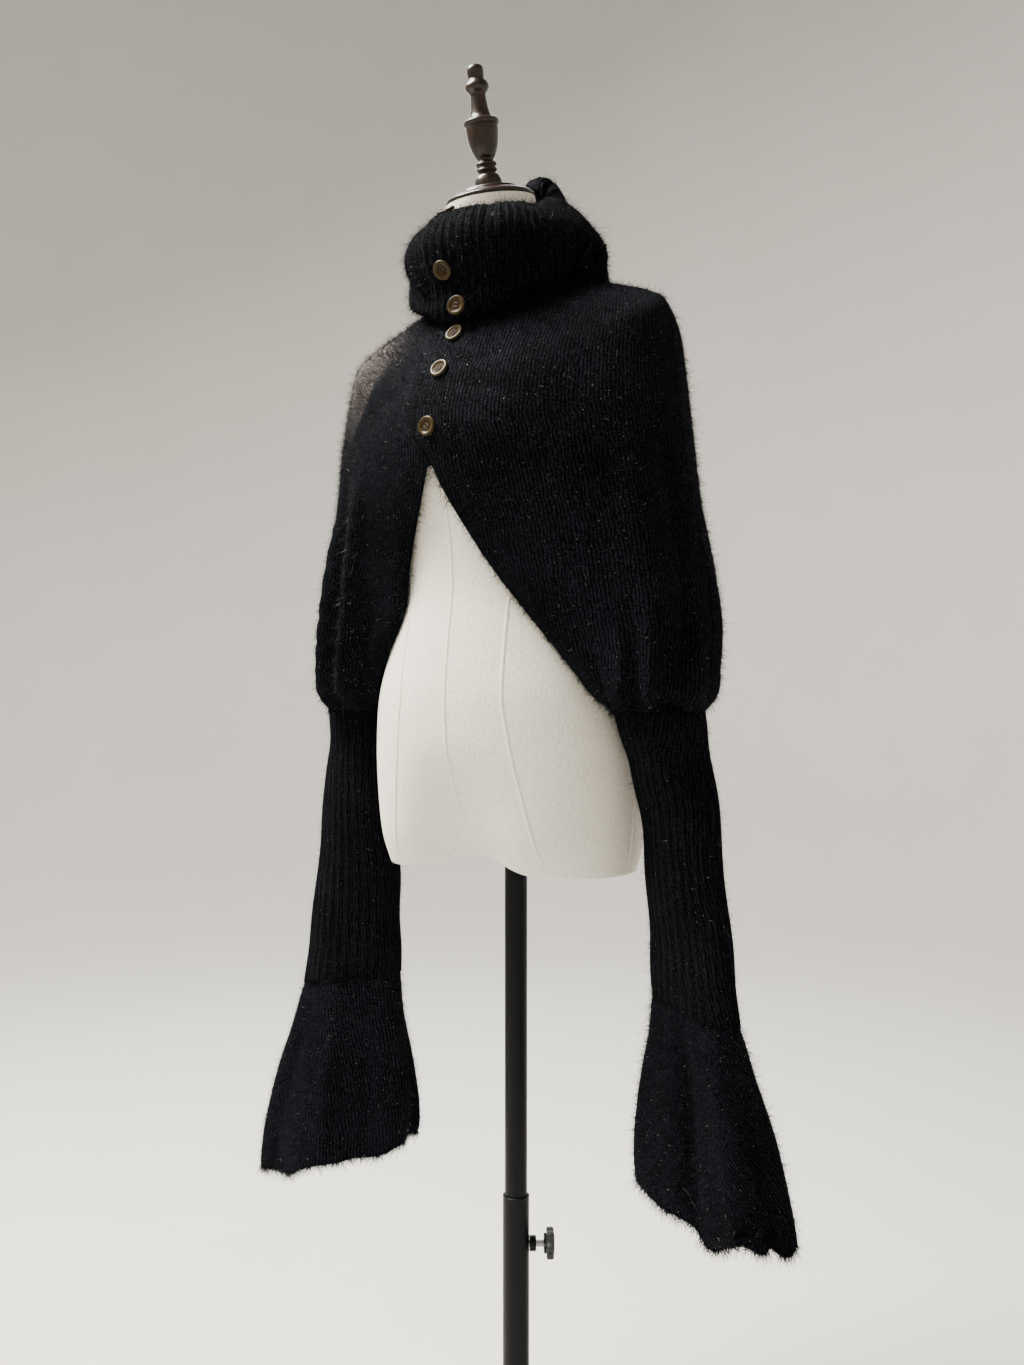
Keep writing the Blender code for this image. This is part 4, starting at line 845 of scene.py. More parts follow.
# start part, start ring, end part, end ring, height, half width, bow
FRONT_FOLDS = {
    "left": (
        (0.3, 5.1, 0.46, 8.9, 0.0085, 0.018, 0.02), (0.13, 5.0, 0.29, 10.3, -0.0095, 0.014, -0.02),
        (0.63, 8.0, 0.66, 10.4, 0.0055, 0.008, 0.0), (0.55, 7.6, 0.545, 10.4, -0.0055, 0.008, 0.02),
        (0.475, 7.9, 0.43, 10.4, 0.006, 0.008, 0.01), (0.37, 8.2, 0.36, 10.4, -0.005, 0.008, 0.0),
        (0.165, 6.6, 0.085, 10.4, 0.0065, 0.01, 0.02), (0.8, 7.9, 0.83, 10.4, -0.005, 0.008, 0.0),
        (0.9, 6.6, 0.96, 8.8, 0.0038, 0.01, -0.01), (0.35, 1.6, 0.55, 5.2, -0.003, 0.022, 0.03),
        (0.75, 0.6, 0.8, 5.0, 0.0024, 0.022, -0.02), (0.93, 3.4, 0.7, 4.1, -0.0022, 0.008, 0.0),
        (0.95, 4.4, 0.66, 5.7, 0.0026, 0.01, 0.0), (0.96, 2.1, 0.74, 2.3, -0.002, 0.007, 0.0),
    ),
    "right": (
        (0.66, 5.5, 0.715, 10.2, 0.014, 0.013, 0.01), (0.495, 5.4, 0.565, 10.2, -0.0165, 0.013, -0.01),
        (0.38, 6.2, 0.42, 10.3, 0.012, 0.012, 0.01), (0.25, 5.4, 0.3, 10.3, -0.0115, 0.012, 0.0),
        (0.12, 6.8, 0.14, 10.3, 0.006, 0.01, 0.0), (0.82, 7.0, 0.84, 10.3, -0.0055, 0.009, 0.0),
        (0.93, 6.4, 0.95, 8.8, 0.003, 0.01, 0.0), (0.4, 1.8, 0.62, 5.0, -0.0026, 0.022, 0.02),
        (0.7, 2.6, 0.52, 5.4, 0.0024, 0.016, 0.0), (0.9, 3.2, 0.66, 4.2, -0.0022, 0.01, 0.0),
    ),
}
BACK_FOLDS = (
    (0.13, 5.4, 0.24, 9.8, -0.005, 0.015, 0.01), (0.05, 6.8, 0.07, 10.0, 0.0044, 0.01, 0.0),
    (0.3, 6.6, 0.37, 10.0, 0.0046, 0.012, -0.01), (0.19, 7.4, 0.16, 10.0, 0.004, 0.008, 0.0),
    (0.6, 4.2, 0.52, 8.6, 0.004, 0.02, 0.02), (0.75, 5.2, 0.64, 9.6, -0.0042, 0.022, 0.0),
    (0.9, 3.4, 0.86, 9.8, 0.0034, 0.024, 0.01), (0.4, 1.4, 0.62, 5.4, -0.003, 0.024, 0.02),
    (1.0, 5.0, 0.97, 9.9, -0.003, 0.02, -0.01),
)
RIGHT_BACK_FOLDS = (
    (0.11, 5.8, 0.2, 9.8, -0.0046, 0.014, 0.01), (0.05, 7.2, 0.06, 10.0, 0.0042, 0.01, 0.0),
    (0.27, 6.2, 0.35, 10.0, 0.0044, 0.013, 0.01), (0.42, 7.6, 0.44, 10.0, -0.004, 0.01, 0.0),
    (0.57, 4.8, 0.55, 8.9, 0.0038, 0.018, -0.02), (0.7, 4.6, 0.66, 9.4, -0.0038, 0.02, 0.0),
    (0.84, 3.9, 0.81, 9.8, 0.003, 0.022, 0.0), (0.36, 1.6, 0.56, 5.0, -0.0028, 0.022, 0.02),
)


def folds(points, table, locate):
    """How far a table of folds lifts each point of a grid; locate finds a ring and part on the cloth."""
    lift = np.zeros(points.shape[:2])
    along = np.linspace(0, 1, FOLD_POINTS)
    ends = np.clip(np.sin(np.pi * along), 0, 1) ** FOLD_FULLNESS
    for part_a, ring_a, part_b, ring_b, height, half_width, bow in table:
        parts = part_a + (part_b - part_a) * along + bow * np.sin(np.pi * along)
        line = locate(ring_a + (ring_b - ring_a) * along, parts)
        gaps = np.linalg.norm(points[:, :, None] - line, axis=-1)
        lift += height * ends[gaps.argmin(-1)] * np.exp(-((gaps.min(-1) / half_width) ** 2))
    return lift


print("folds on the fronts:", {side: len(table) for side, table in FRONT_FOLDS.items()})

# %% [markdown]
# ### Keeping cloth clear
# Cloth rests on what carries it. After the folds are in, each point that lies too near the form, or inside
# it, is moved out along the form's own normal until the cloth and its thickness fit.

# %% Helpers to keep cloth clear and to finish it
KNIT_THICKNESS, REST_GAP, SEARCH_REACH = 0.0024, 0.0012, 0.03
KNITS = {"mohair_knit": mohair_knit, "mohair_rib": mohair_rib}


def tree_of(piece):
    """A search tree of a piece's mesh, to find what lies near a point."""
    shape = bmesh.new()
    shape.from_mesh(piece.data)
    tree = BVHTree.FromBMesh(shape)
    shape.free()
    return tree


def kept_clear(points, trees, clearance):
    """The grid with each point moved until it is the clearance outside every tree."""
    moved = points.copy()
    for j, i in np.ndindex(points.shape[:2]):
        for tree in trees:
            near, normal, _, distance = tree.find_nearest(Vector(moved[j, i]), SEARCH_REACH)
            if near is None:
                continue
            outside = (Vector(moved[j, i]) - near).dot(normal) >= 0
            shift = clearance - (distance if outside else -distance)
            if shift > 0:
                moved[j, i] += np.array(normal) * shift
    return moved


def area_of(points):
    """The area of a grid of points, in square metres."""
    a = np.cross(points[1:, 1:] - points[:-1, :-1], points[1:, :-1] - points[:-1, 1:])
    return float(np.linalg.norm(a, axis=-1).sum() / 2)


def sewn(name, points, cut, slot, nodes, thickness=KNIT_THICKNESS, closed=False):
    """A knitted piece from its worn grid and its flat map. Its thickness lies on the inner side."""
    piece = finished(name, worn(points, *cut, closed), KNITS[slot], "form", slot, nodes)
    wall = piece.modifiers.new("Thickness", "SOLIDIFY")
    wall.thickness = thickness
    wall.offset = -1.0
    wall.use_even_offset = False
    wall.use_rim = True
    print(name, "area", round(area_of(points), 4), "runs", [round(float(np.ptp(run)), 3) for run in cut])
    return piece


form_tree = tree_of(form_cover)
print("form tree ready")

# %% Knit the two fronts
FRONT_COLUMNS, BODY_LINES = 76, 90
SEAM_GAP = 0.0003
FRONT_LAP = 0.018
LAP_ENDS, LAP_WHOLE = {"left": 5.65, "right": 5.7}, {"left": 4.8, "right": 3.4}
LAP_LIFT, LAP_FADE, LAP_FADE_RINGS = 0.0039, (0.03, 0.085), 1.2
BLOUSE, BLOUSE_RING, BLOUSE_RINGS, BLOUSE_END = 0.004, 9.3, 0.45, 0.5
FOLDS_CAUGHT = 0.22
SETTLED_RING = 5.0

rings = np.linspace(0, LAST_RING, BODY_LINES)


def bloused(ring):
    """How far the cloth swells over the cuff seam before it is drawn in."""
    swell = BLOUSE * np.exp(-(((ring - BLOUSE_RING) / BLOUSE_RINGS) ** 2))
    return swell * ramp(ring, LAST_RING, LAST_RING - BLOUSE_END)


def at_seam(ring):
    """1 on the body, and 0 at the cuff seam, where the folds are caught."""
    return ramp(ring, LAST_RING, LAST_RING - FOLDS_CAUGHT)


def even_rows(points):
    """How far down a grid's rows lie on the mean, for each of its points."""
    return np.broadcast_to(run_lengths(points, 0).mean(1, keepdims=True), points.shape[:2])


def front_map(points, ring):
    """The flat map of a front: its wales are counted from the front edge, and lower down from the arm."""
    from_arm = run_lengths(points, 1)
    settled = from_arm[np.abs(ring[:, 0] - SETTLED_RING).argmin(), -1]
    from_edge = from_arm[:, -1:] - from_arm
    return np.where(ring <= SETTLED_RING, from_edge, settled - from_arm), even_rows(points)


def knit_front(side):
    """One front with its folds and its lap, made as on the wearer's left and mirrored for the right."""
    ring, share = np.meshgrid(rings, np.linspace(0, 1, FRONT_COLUMNS), indexing="ij")
    arm = eased(ARM_ROWS, ring)
    # a curve sets out at three times its handle's length, which turns lengths on the cloth into parts
    speed = 3 * HANDLE * arm[..., 0]
    first = SEAM_GAP / 2 / (3 * arm[..., 3])
    far = 1 + FRONT_LAP / speed * ramp(ring, LAP_ENDS[side], LAP_WHOLE[side])
    part = first + (far - first) * share
    points = front_point(side, ring, part)
    lift = folds(points, FRONT_FOLDS[side], lambda r, p: front_point(side, r, p))
    lift = lift * at_seam(ring) + bloused(ring)
    if side == "left":
        near_edge = ramp((far - part) * speed, LAP_FADE[1], LAP_FADE[0])
        lift = lift + LAP_LIFT * near_edge * ramp(ring, LAP_ENDS[side] + LAP_FADE_RINGS, LAP_ENDS[side])
    points = points + outward(points) * lift[..., None]
    cut_u, cut_v = front_map(points, ring)
    if side == "right":
        points, cut_u, cut_v = points[:, ::-1] * MIRROR, cut_u[:, ::-1], cut_v[:, ::-1]
    points = kept_clear(points, [form_tree], KNIT_THICKNESS + REST_GAP)
    return sewn(f"knit_front_{side}", points, (cut_u, cut_v), "mohair_knit", [f"front_{side}"])


fronts = {side: knit_front(side) for side in ("left", "right")}

# %% Knit the back
BACK_COLUMNS = 129
BLOUSED_SIDES = (0.3, 0.6)

ring, share = np.meshgrid(rings, np.linspace(-1, 1, BACK_COLUMNS), indexing="ij")
arm = eased(ARM_ROWS, ring)
first = SEAM_GAP / 2 / (6 * arm[..., 4])
part = np.minimum(first + (1 - first) * (1 - np.abs(share)), 1.0)
right_half, left_half = back_point("right", ring, part) * MIRROR, back_point("left", ring, part)
points = np.where((share < 0)[..., None], right_half, left_half)
lift = folds(points, BACK_FOLDS, lambda r, p: back_point("left", r, p))
lift += folds(points, RIGHT_BACK_FOLDS, lambda r, p: back_point("right", r, p) * MIRROR)
lift = lift * at_seam(ring)
lift += bloused(ring) * ramp(np.abs(share), *BLOUSED_SIDES)
points = points + outward(points) * lift[..., None]
points = kept_clear(points, [form_tree], KNIT_THICKNESS + REST_GAP)
from_centre = run_lengths(points, 1)
from_centre -= from_centre[:, BACK_COLUMNS // 2, None]
back_map = (from_centre, even_rows(points))
knit_back = sewn("knit_back", points, back_map, "mohair_knit", ["back_left", "back_right"])

# %% [markdown]
# ## Cuffs and frills
# A cuff is a long ribbed tube, and a frill is a flared tube sewn to its end. Both start as flat grids whose
# first and last columns meet at a seam on the inner side. The ribs are raised columns, because they are
# deep enough to show on the outline. The frill's hem stands in uneven waves, and its edge is lightly
# scalloped.

# %% Sleeve sections
# drop, centre, half width, half depth, turn in degrees, slant
CUFF_ROWS = (
    (0.0, 0.2035, -0.045, 0.0465, 0.0375, 0.0, 0.0),
    (0.04, 0.208, -0.037, 0.045, 0.034, 4.0, 0.02),
    (0.1, 0.2145, -0.026, 0.0465, 0.0285, 9.0, 0.05),
    (0.18, 0.219, -0.019, 0.052, 0.0255, 14.0, 0.09),
    (0.26, 0.225, -0.018, 0.058, 0.024, 16.0, 0.13),
    (0.326, 0.23, -0.0185, 0.063, 0.024, 17.0, 0.16),
)
BELL_ROWS = (
    (0.326, 0.23, -0.0185, 0.064, 0.025, 17.0, 0.16),
    (0.375, 0.2345, -0.019, 0.072, 0.031, 17.0, 0.17),
    (0.43, 0.2395, -0.0195, 0.087, 0.038, 16.0, 0.18),
    (0.49, 0.244, -0.0205, 0.099, 0.044, 16.0, 0.2),
    (0.54, 0.2475, -0.021, 0.106, 0.048, 15.0, 0.22),
)
SLEEVE_HANG = {"left": 0.91, "right": 1.0}
SLEEVE_TURN = {"left": 9.0, "right": 0.0}
SHIFT_ENDS = 0.14
SLEEVE_TOP = ARM_ROWS[-1][2] - 2 * SEAM_GAP
SEAM_ANGLE = math.pi


def sleeve_points(row, side, angle, raise_by, fall):
    """Points round sleeve sections; angle 0 is the outer end of a section and 90 degrees its back."""
    drop, x, y, half_width, half_depth, turn, slant = np.moveaxis(row, -1, 0)
    turn = np.radians(turn + SLEEVE_TURN[side] * ramp(drop, 0.0, SHIFT_ENDS))
    along, deep = (half_width + raise_by) * np.cos(angle), (half_depth + raise_by) * np.sin(angle)
    level = SLEEVE_TOP - drop * SLEEVE_HANG[side] - slant * along - fall
    east = x + along * np.cos(turn) + deep * np.sin(turn)
    north = y - along * np.sin(turn) + deep * np.cos(turn)
    points = xyz(east, north, level)
    points = points + SLEEVE_SHIFT[side] * ramp(drop, SHIFT_ENDS, 0.0)[..., None]
    return points if side == "left" else points * MIRROR


def sleeve_grid(table, side, columns, lines):
    """Table rows and angles for a tube whose columns run so that its faces point outwards."""
    way = -1 if side == "left" else 1
    angles = SEAM_ANGLE + way * np.linspace(0, 2 * math.pi, columns)
    place, angle = np.meshgrid(np.linspace(0, len(table) - 1, lines), angles, indexing="ij")
    return eased(table, place), place, angle


print("sleeve sections:", len(CUFF_ROWS) + len(BELL_ROWS))

# %% Knit the ribbed cuffs
CUFF_RIBS, RIB_STEPS, CUFF_LINES = 30, 6, 40
RIB_RAISE, RIB_FULLNESS = 0.0016, 0.8
SLACK_DEPTH, SLACK_WAVES, SLACK_SWING, SLACK_TWIST = 0.0011, 4.1, 1.3, 0.7
SLACK_STARTS, SLACK_ENDS = (0.2, 1.2), (5.0, 4.2)
CUFF_TUCK_UP, CUFF_TUCK_IN = 0.009, 0.0035


def ribs(columns, count):
    """The height of raised ribs over a row of columns, from 0 between ribs to 1 on a rib."""
    turns = 2 * math.pi * count * np.arange(columns) / (columns - 1)
    return (0.5 - 0.5 * np.cos(turns)) ** RIB_FULLNESS


def knit_cuff(side):
    """A ribbed tube, a little slack between its ends and tucked up into the sleeve."""
    columns = CUFF_RIBS * RIB_STEPS + 1
    row, place, angle = sleeve_grid(CUFF_ROWS, side, columns, CUFF_LINES)
    swing = SLACK_SWING * np.cos(angle + place * SLACK_TWIST)
    slack = SLACK_DEPTH * np.sin(place * SLACK_WAVES + swing) * ramp(place, *SLACK_STARTS)
    raise_by = RIB_RAISE * ribs(columns, CUFF_RIBS)[None] + slack * ramp(place, *SLACK_ENDS)
    points = sleeve_points(row, side, angle, raise_by, 0.0)
    tucked = sleeve_points(row[:1], side, angle[:1], raise_by[:1] - CUFF_TUCK_IN, -CUFF_TUCK_UP)
    points = np.concatenate([tucked, points])
    name, node = f"ribbed_cuff_{side}", f"cuff_{side}"
    return sewn(name, points, run_map(points), "mohair_rib", [node], closed=True)


cuffs = {side: knit_cuff(side) for side in ("left", "right")}

# %% Tables of the frills
BELL_COLUMNS, BELL_LINES, BELL_GROWTH = 151, 46, 1.5
# count of waves, depth, first angle in degrees
BELL_WAVES = {"left": (5, 0.0065, 284.0), "right": (6, 0.0055, 250.0)}
WAVE_SWING = 0.5
HEM_SCALLOPS, HEM_SCALLOP_DEPTH = 11, 0.0012
BELL_TUCK_UP, BELL_TUCK_IN, BELL_TOP_IN, BELL_TOP_ENDS = 0.006, 0.004, 0.0012, 0.5
# the two ends of each hem as the photo shows them: angle and half width in degrees
HEM_CORNERS = {"left": ((216.0, 17.0), (36.0, 17.0)), "right": ((0.0, 22.0), (180.0, 38.0))}
CORNER_IN, CORNER_UP = 0.009, 0.009
# angle in degrees, rise of the hem there, half width in degrees
HEM_LIFTS = {
    "left": (
        (322.0, 0.018, 13.0), (348.0, 0.018, 16.0), (294.0, -0.009, 13.0), (20.0, 0.007, 12.0),
        (95.0, 0.008, 20.0),
    ),
    "right": ((0.0, -0.012, 40.0), (300.0, -0.008, 22.0), (235.0, -0.004, 25.0), (95.0, -0.006, 25.0)),
}
# angle at the seam, angle at the hem in degrees, height, half width
BELL_FOLDS = {
    "left": (
        (276, 287, -0.013, 0.011), (236, 226, 0.0065, 0.014), (312, 326, 0.007, 0.014),
        (340, 352, -0.005, 0.01), (200, 190, -0.0036, 0.011), (30, 22, 0.004, 0.012),
        (80, 88, -0.0042, 0.012), (130, 122, 0.0038, 0.013),
    ),
    "right": (
        (275, 268, 0.003, 0.012), (245, 236, -0.0034, 0.01), (310, 322, -0.0034, 0.011),
        (210, 200, 0.0032, 0.012), (350, 358, 0.0034, 0.012), (60, 52, -0.0038, 0.012),
        (110, 118, 0.0036, 0.012), (160, 152, -0.0032, 0.011),
    ),
}
# where a fold starts under the seam, and how far its line runs on past the hem, in table rows
BELL_FOLD_START, BELL_FOLD_PAST = 0.15, 0.9
print("folds on the frills:", {side: len(table) for side, table in BELL_FOLDS.items()})

# %% Knit the flared frills


def beside(angle, middle, half_angle):
    """1 at one angle in degrees, falling to 0 on both sides of it."""
    off = (np.degrees(angle) - middle + 180) % 360 - 180
    return np.exp(-((off / half_angle) ** 2))


def knit_bell(side):
    """A flared tube with a wavy, scalloped hem, tucked up into the cuff."""
    row, place, angle = sleeve_grid(BELL_ROWS, side, BELL_COLUMNS, BELL_LINES)
    last = len(BELL_ROWS) - 1
    growth = (place / last) ** BELL_GROWTH
    waves, depth, first = BELL_WAVES[side]
    swing = WAVE_SWING * np.sin(2 * angle) * growth
    wave = -depth * growth * np.cos(waves * (angle - math.radians(first)) + swing)
    fall = HEM_SCALLOP_DEPTH * growth**3 * np.cos(HEM_SCALLOPS * angle) + SEAM_GAP
    wave = wave - BELL_TOP_IN * ramp(place, BELL_TOP_ENDS, 0.0)
    for middle, rise, half_angle in HEM_LIFTS[side]:
        fall = fall - rise * beside(angle, middle, half_angle) * growth**2
    for corner, half_angle in HEM_CORNERS[side]:
        near = beside(angle, corner, half_angle)
        wave = wave - CORNER_IN * near * growth**5
        fall = fall - CORNER_UP * near * growth**3
    points = sleeve_points(row, side, angle, wave, fall)
    tucked = sleeve_points(row[:1], side, angle[:1], wave[:1] - BELL_TUCK_IN, fall[:1] - BELL_TUCK_UP)
    points = np.concatenate([tucked, points])

    def locate(rings, parts):
        """Points of the plain tube at table rows and angles in degrees."""
        return sleeve_points(eased(BELL_ROWS, rings), side, np.radians(parts), 0.0, 0.0)

    ends = BELL_FOLD_START, last + BELL_FOLD_PAST
    table = [(a, ends[0], b, ends[1], height, width, 0.0) for a, b, height, width in BELL_FOLDS[side]]
    points = points + outward(points, closed=True) * folds(points, table, locate)[..., None]
    points[:, -1] = points[:, 0]
    name, node = f"flared_frill_{side}", f"bell_{side}"
    return sewn(name, points, run_map(points), "mohair_knit", [node], closed=True)


bells = {side: knit_bell(side) for side in ("left", "right")}

# %% [markdown]
# ## The collar
# The collar is one tall band of rib. It is sewn to the neckline, sags in a soft roll, leans out over the
# chest and turns in at the top, with a lip standing up at the nape. Its ends lap at the front and are
# buttoned. It is a flat grid again: a column is one step of a rib, and a row is one step of the path from
# seam to rim.

# %% Shape of the collar
# out and up from the neckline, at the front, at the sides and at the back
COLLAR_ROWS = (
    (-0.002, 0.009, -0.001, 0.007, -0.001, 0.005), (0.006, 0.0058, 0.01, 0.005, 0.007, 0.0015),
    (0.014, -0.0042, 0.02, 0.002, 0.016, -0.003), (0.021, 0.0, 0.029, 0.005, 0.026, 0.005),
    (0.02, 0.015, 0.031, 0.017, 0.03, 0.017), (0.023, 0.031, 0.031, 0.03, 0.03, 0.03),
    (0.034, 0.046, 0.029, 0.043, 0.028, 0.043), (0.039, 0.067, 0.023, 0.056, 0.021, 0.057),
    (0.031, 0.089, 0.01, 0.069, 0.008, 0.073), (0.01, 0.103, -0.004, 0.08, -0.006, 0.092),
    (-0.004, 0.099, -0.015, 0.082, -0.012, 0.108),
)
# centre on the way round, height, half width on the way round, squareness, first row that it lifts
NAPE_LIP = (0.095, 0.024, 0.142, 8, 7.5)
NAPE_DIP = (0.34, -0.008, 0.095, 2, 6.5)
NAPE_ROLL = 0.9
COLLAR_LAP, COLLAR_LAP_LIFT, COLLAR_LAP_RISE = 0.06, 0.0058, (0.7, 0.9)
COLLAR_RIBS, COLLAR_LINES = 78, 42
COLLAR_WALL, COLLAR_THICKNESS, CLEAR_OF_CLOTH = 0.0036, 0.0028, 0.0016
RIM_RADIUS, RIM_ROLL_DEG, RIM_LINES = 0.0055, 190.0, 7
NECK_STEP = 0.01
# start way round, start row, end way round, end row, height, half width, bow
COLLAR_FOLDS = (
    (0.72, 7.9, 0.6, 9.8, -0.0042, 0.006, 0.02), (0.85, 7.0, 0.86, 9.6, -0.0028, 0.006, 0.01),
    (0.64, 8.2, 0.5, 9.6, 0.003, 0.008, 0.0), (0.4, 7.6, 0.3, 9.4, -0.003, 0.008, 0.01),
    (0.22, 7.0, 0.18, 9.6, 0.0028, 0.009, 0.0), (0.95, 5.0, 0.62, 4.7, -0.0028, 0.008, 0.0),
    (0.58, 4.4, 0.2, 5.2, -0.0026, 0.009, 0.0), (0.8, 3.0, 0.4, 3.3, 0.0022, 0.009, 0.0),
    (-0.7, 8.0, -0.62, 9.6, -0.0034, 0.007, -0.02), (-0.5, 7.4, -0.4, 9.4, 0.003, 0.009, 0.0),
    (-0.3, 7.2, -0.2, 9.4, -0.003, 0.008, 0.0), (-0.85, 4.8, -0.35, 5.0, -0.003, 0.009, 0.0),
)


def neckline(around):
    """The neckline seam: 0 is the centre back, 1 and -1 the centre front, above 0 the wearer's left."""
    around = (np.asarray(around, float) + 1) % 2 - 1
    part = np.abs(around)
    behind = back_point("left", np.zeros_like(part), np.clip(1 - part * 2, 0, 1))
    ahead = front_point("left", np.zeros_like(part), np.clip(part * 2 - 1, 0, 1))
    points = np.where((part <= 0.5)[..., None], behind, ahead)
    return np.where((around >= 0)[..., None], points, points * MIRROR)


def lump_share(around, lump):
    """1 in the middle of a lump of the rim, falling to 0 on both sides of it."""
    centre, _, half_width, square, _ = lump
    return np.exp(-((np.abs((around - centre + 1) % 2 - 1) / half_width) ** square))


def collar_point(place, around):
    """Points of the collar's middle, from the seam at 0 to the rim at the last row."""
    place, around = paired(place, around)
    front_out, front_up, side_out, side_up, back_out, back_up = np.moveaxis(eased(COLLAR_ROWS, place), -1, 0)
    step = neckline(around + NECK_STEP) - neckline(around - NECK_STEP)
    away = unit(xyz(-step[..., 1], step[..., 0], 0.0))
    angle = math.pi * np.abs((around + 1) % 2 - 1)
    front, back = np.maximum(-np.cos(angle), 0) ** 2, np.maximum(np.cos(angle), 0) ** 2
    side = np.sin(angle) ** 2
    out = front * front_out + side * side_out + back * back_out
    up = front * front_up + side * side_up + back * back_up
    for lump in (NAPE_LIP, NAPE_DIP):
        up = up + lump[1] * lump_share(around, lump) * ramp(place, lump[4], len(COLLAR_ROWS) - 1)
    return neckline(around) + away * out[..., None] + xyz(0.0, 0.0, up)


print("collar rows:", len(COLLAR_ROWS))

# %% Knit the collar
reach = 1 + COLLAR_LAP
columns = COLLAR_RIBS * RIB_STEPS + 1
places, arounds = np.linspace(0, len(COLLAR_ROWS) - 1, COLLAR_LINES), np.linspace(reach, -reach, columns)
place, around = np.meshgrid(places, arounds, indexing="ij")
points = collar_point(place, around)
lap = COLLAR_LAP_LIFT / 2 * (ramp(around, *COLLAR_LAP_RISE) - ramp(-around, *COLLAR_LAP_RISE))
lift = lap + COLLAR_WALL / 2 + RIB_RAISE * ribs(columns, COLLAR_RIBS)[None]
lift = lift + folds(points, COLLAR_FOLDS, collar_point)
points = points + outward(points) * lift[..., None]
rim, inward = points[-1], -outward(points)[-1]
rim_way = unit(points[-1] - points[-3])
roll = np.radians(np.linspace(0, RIM_ROLL_DEG, RIM_LINES + 1))[1:, None, None]
rim_radius = RIM_RADIUS * (1 + NAPE_ROLL * lump_share(arounds, NAPE_LIP))[:, None]
rolled = rim + rim_radius * (inward * (1 - np.cos(roll)) + rim_way * np.sin(roll))
points = np.concatenate([points, rolled])
body_trees = [tree_of(piece) for piece in (*fronts.values(), knit_back)]
points = kept_clear(points, [form_tree, tree_of(neck_cap), *body_trees], CLEAR_OF_CLOTH + COLLAR_THICKNESS)
cut_u, cut_v = run_map(points)
cut_u = np.broadcast_to(cut_u.mean(0, keepdims=True), cut_u.shape)
ribbed_collar = sewn(
    "ribbed_collar", points, (cut_u, cut_v), "mohair_rib", ["collar"], thickness=COLLAR_THICKNESS
)

# %% [markdown]
# ## Buttons
# Each button is a flat resin disc with a raised rim, a sunk middle and four holes, sewn on with dark
# thread. The middle is a circle with four small circles in it, filled and then extruded so that the holes
# have walls. The rim is a spun profile merged to it. The same button is made six times. Each is set on the
# cloth where a ray along the axis of its CAD button meets it, and turned further than the last one, because
# no two buttons are sewn on alike.

# %% Helpers to model a button
BUTTON_RADIUS, BUTTON_THICKNESS, BUTTON_SEAT = 0.0105, 0.0036, 0.0004
BUTTON_STEPS, HOLE_STEPS = 48, 12
HOLE_RADIUS, HOLE_PLACE = 0.00105, 0.0019
INSIDE_WELL = 0.9
THREAD_RADIUS, THREAD_STEPS, THREAD_PAST_HOLES, THREAD_RISE = 0.00062, 10, 0.0012, 0.0002
# shares of the radius and of the thickness
WELL_RADIUS, WELL_HEIGHT, FOOT_RADIUS = 0.56, 0.62, 0.84
BUTTON_LINE = (
    (WELL_RADIUS, WELL_HEIGHT), (0.62, 0.7), (0.68, 0.88), (0.76, 0.98), (0.84, 1.0), (0.92, 0.93),
    (0.97, 0.78), (1.0, 0.52), (0.985, 0.3), (0.93, 0.12), (FOOT_RADIUS, 0.0),
)


def loop_of(shape, centre, radius, height, steps):
    """A ring of edges in a bmesh."""
    made = bmesh.ops.create_circle(shape, cap_ends=False, segments=steps, radius=radius)
    bmesh.ops.translate(shape, verts=made["verts"], vec=(*centre, height))
    return list(dict.fromkeys(edge for vert in made["verts"] for edge in vert.link_edges))


def button_shape():
    """A button round Z with its underside at 0, and a second finish for its sunk middle."""
    well, well_radius = WELL_HEIGHT * BUTTON_THICKNESS, WELL_RADIUS * BUTTON_RADIUS
    holes = [(x, y) for x in (-HOLE_PLACE, HOLE_PLACE) for y in (-HOLE_PLACE, HOLE_PLACE)]
    shape = bmesh.new()
    edges = loop_of(shape, (0.0, 0.0), well_radius, well, BUTTON_STEPS)
    for hole in holes:
        edges += loop_of(shape, hole, HOLE_RADIUS, well, HOLE_STEPS)
    bmesh.ops.triangle_fill(shape, edges=edges, use_beauty=True)
    hole_edges = [edge for edge in shape.edges if edge.is_boundary]
    hole_edges = [edge for edge in hole_edges if edge.verts[0].co.xy.length < well_radius * INSIDE_WELL]
    walls = bmesh.ops.extrude_edge_only(shape, edges=hole_edges)
    wall_verts = [item for item in walls["geom"] if isinstance(item, bmesh.types.BMVert)]
    bmesh.ops.translate(shape, verts=wall_verts, vec=(0.0, 0.0, -well))
    rim = spun([(r * BUTTON_RADIUS, h * BUTTON_THICKNESS) for r, h in BUTTON_LINE], BUTTON_STEPS)
    shape = joined([shape, rim])
    foot = loop_of(shape, (0.0, 0.0), FOOT_RADIUS * BUTTON_RADIUS, 0.0, BUTTON_STEPS)
    for hole in holes:
        foot += loop_of(shape, hole, HOLE_RADIUS, 0.0, HOLE_STEPS)
    bmesh.ops.triangle_fill(shape, edges=foot, use_beauty=True)
    bmesh.ops.remove_doubles(shape, verts=shape.verts, dist=MERGE)
    bmesh.ops.recalc_face_normals(shape, faces=shape.faces)
    for face in shape.faces:
        face.material_index = int(face.calc_center_median().xy.length < well_radius)
    return shape


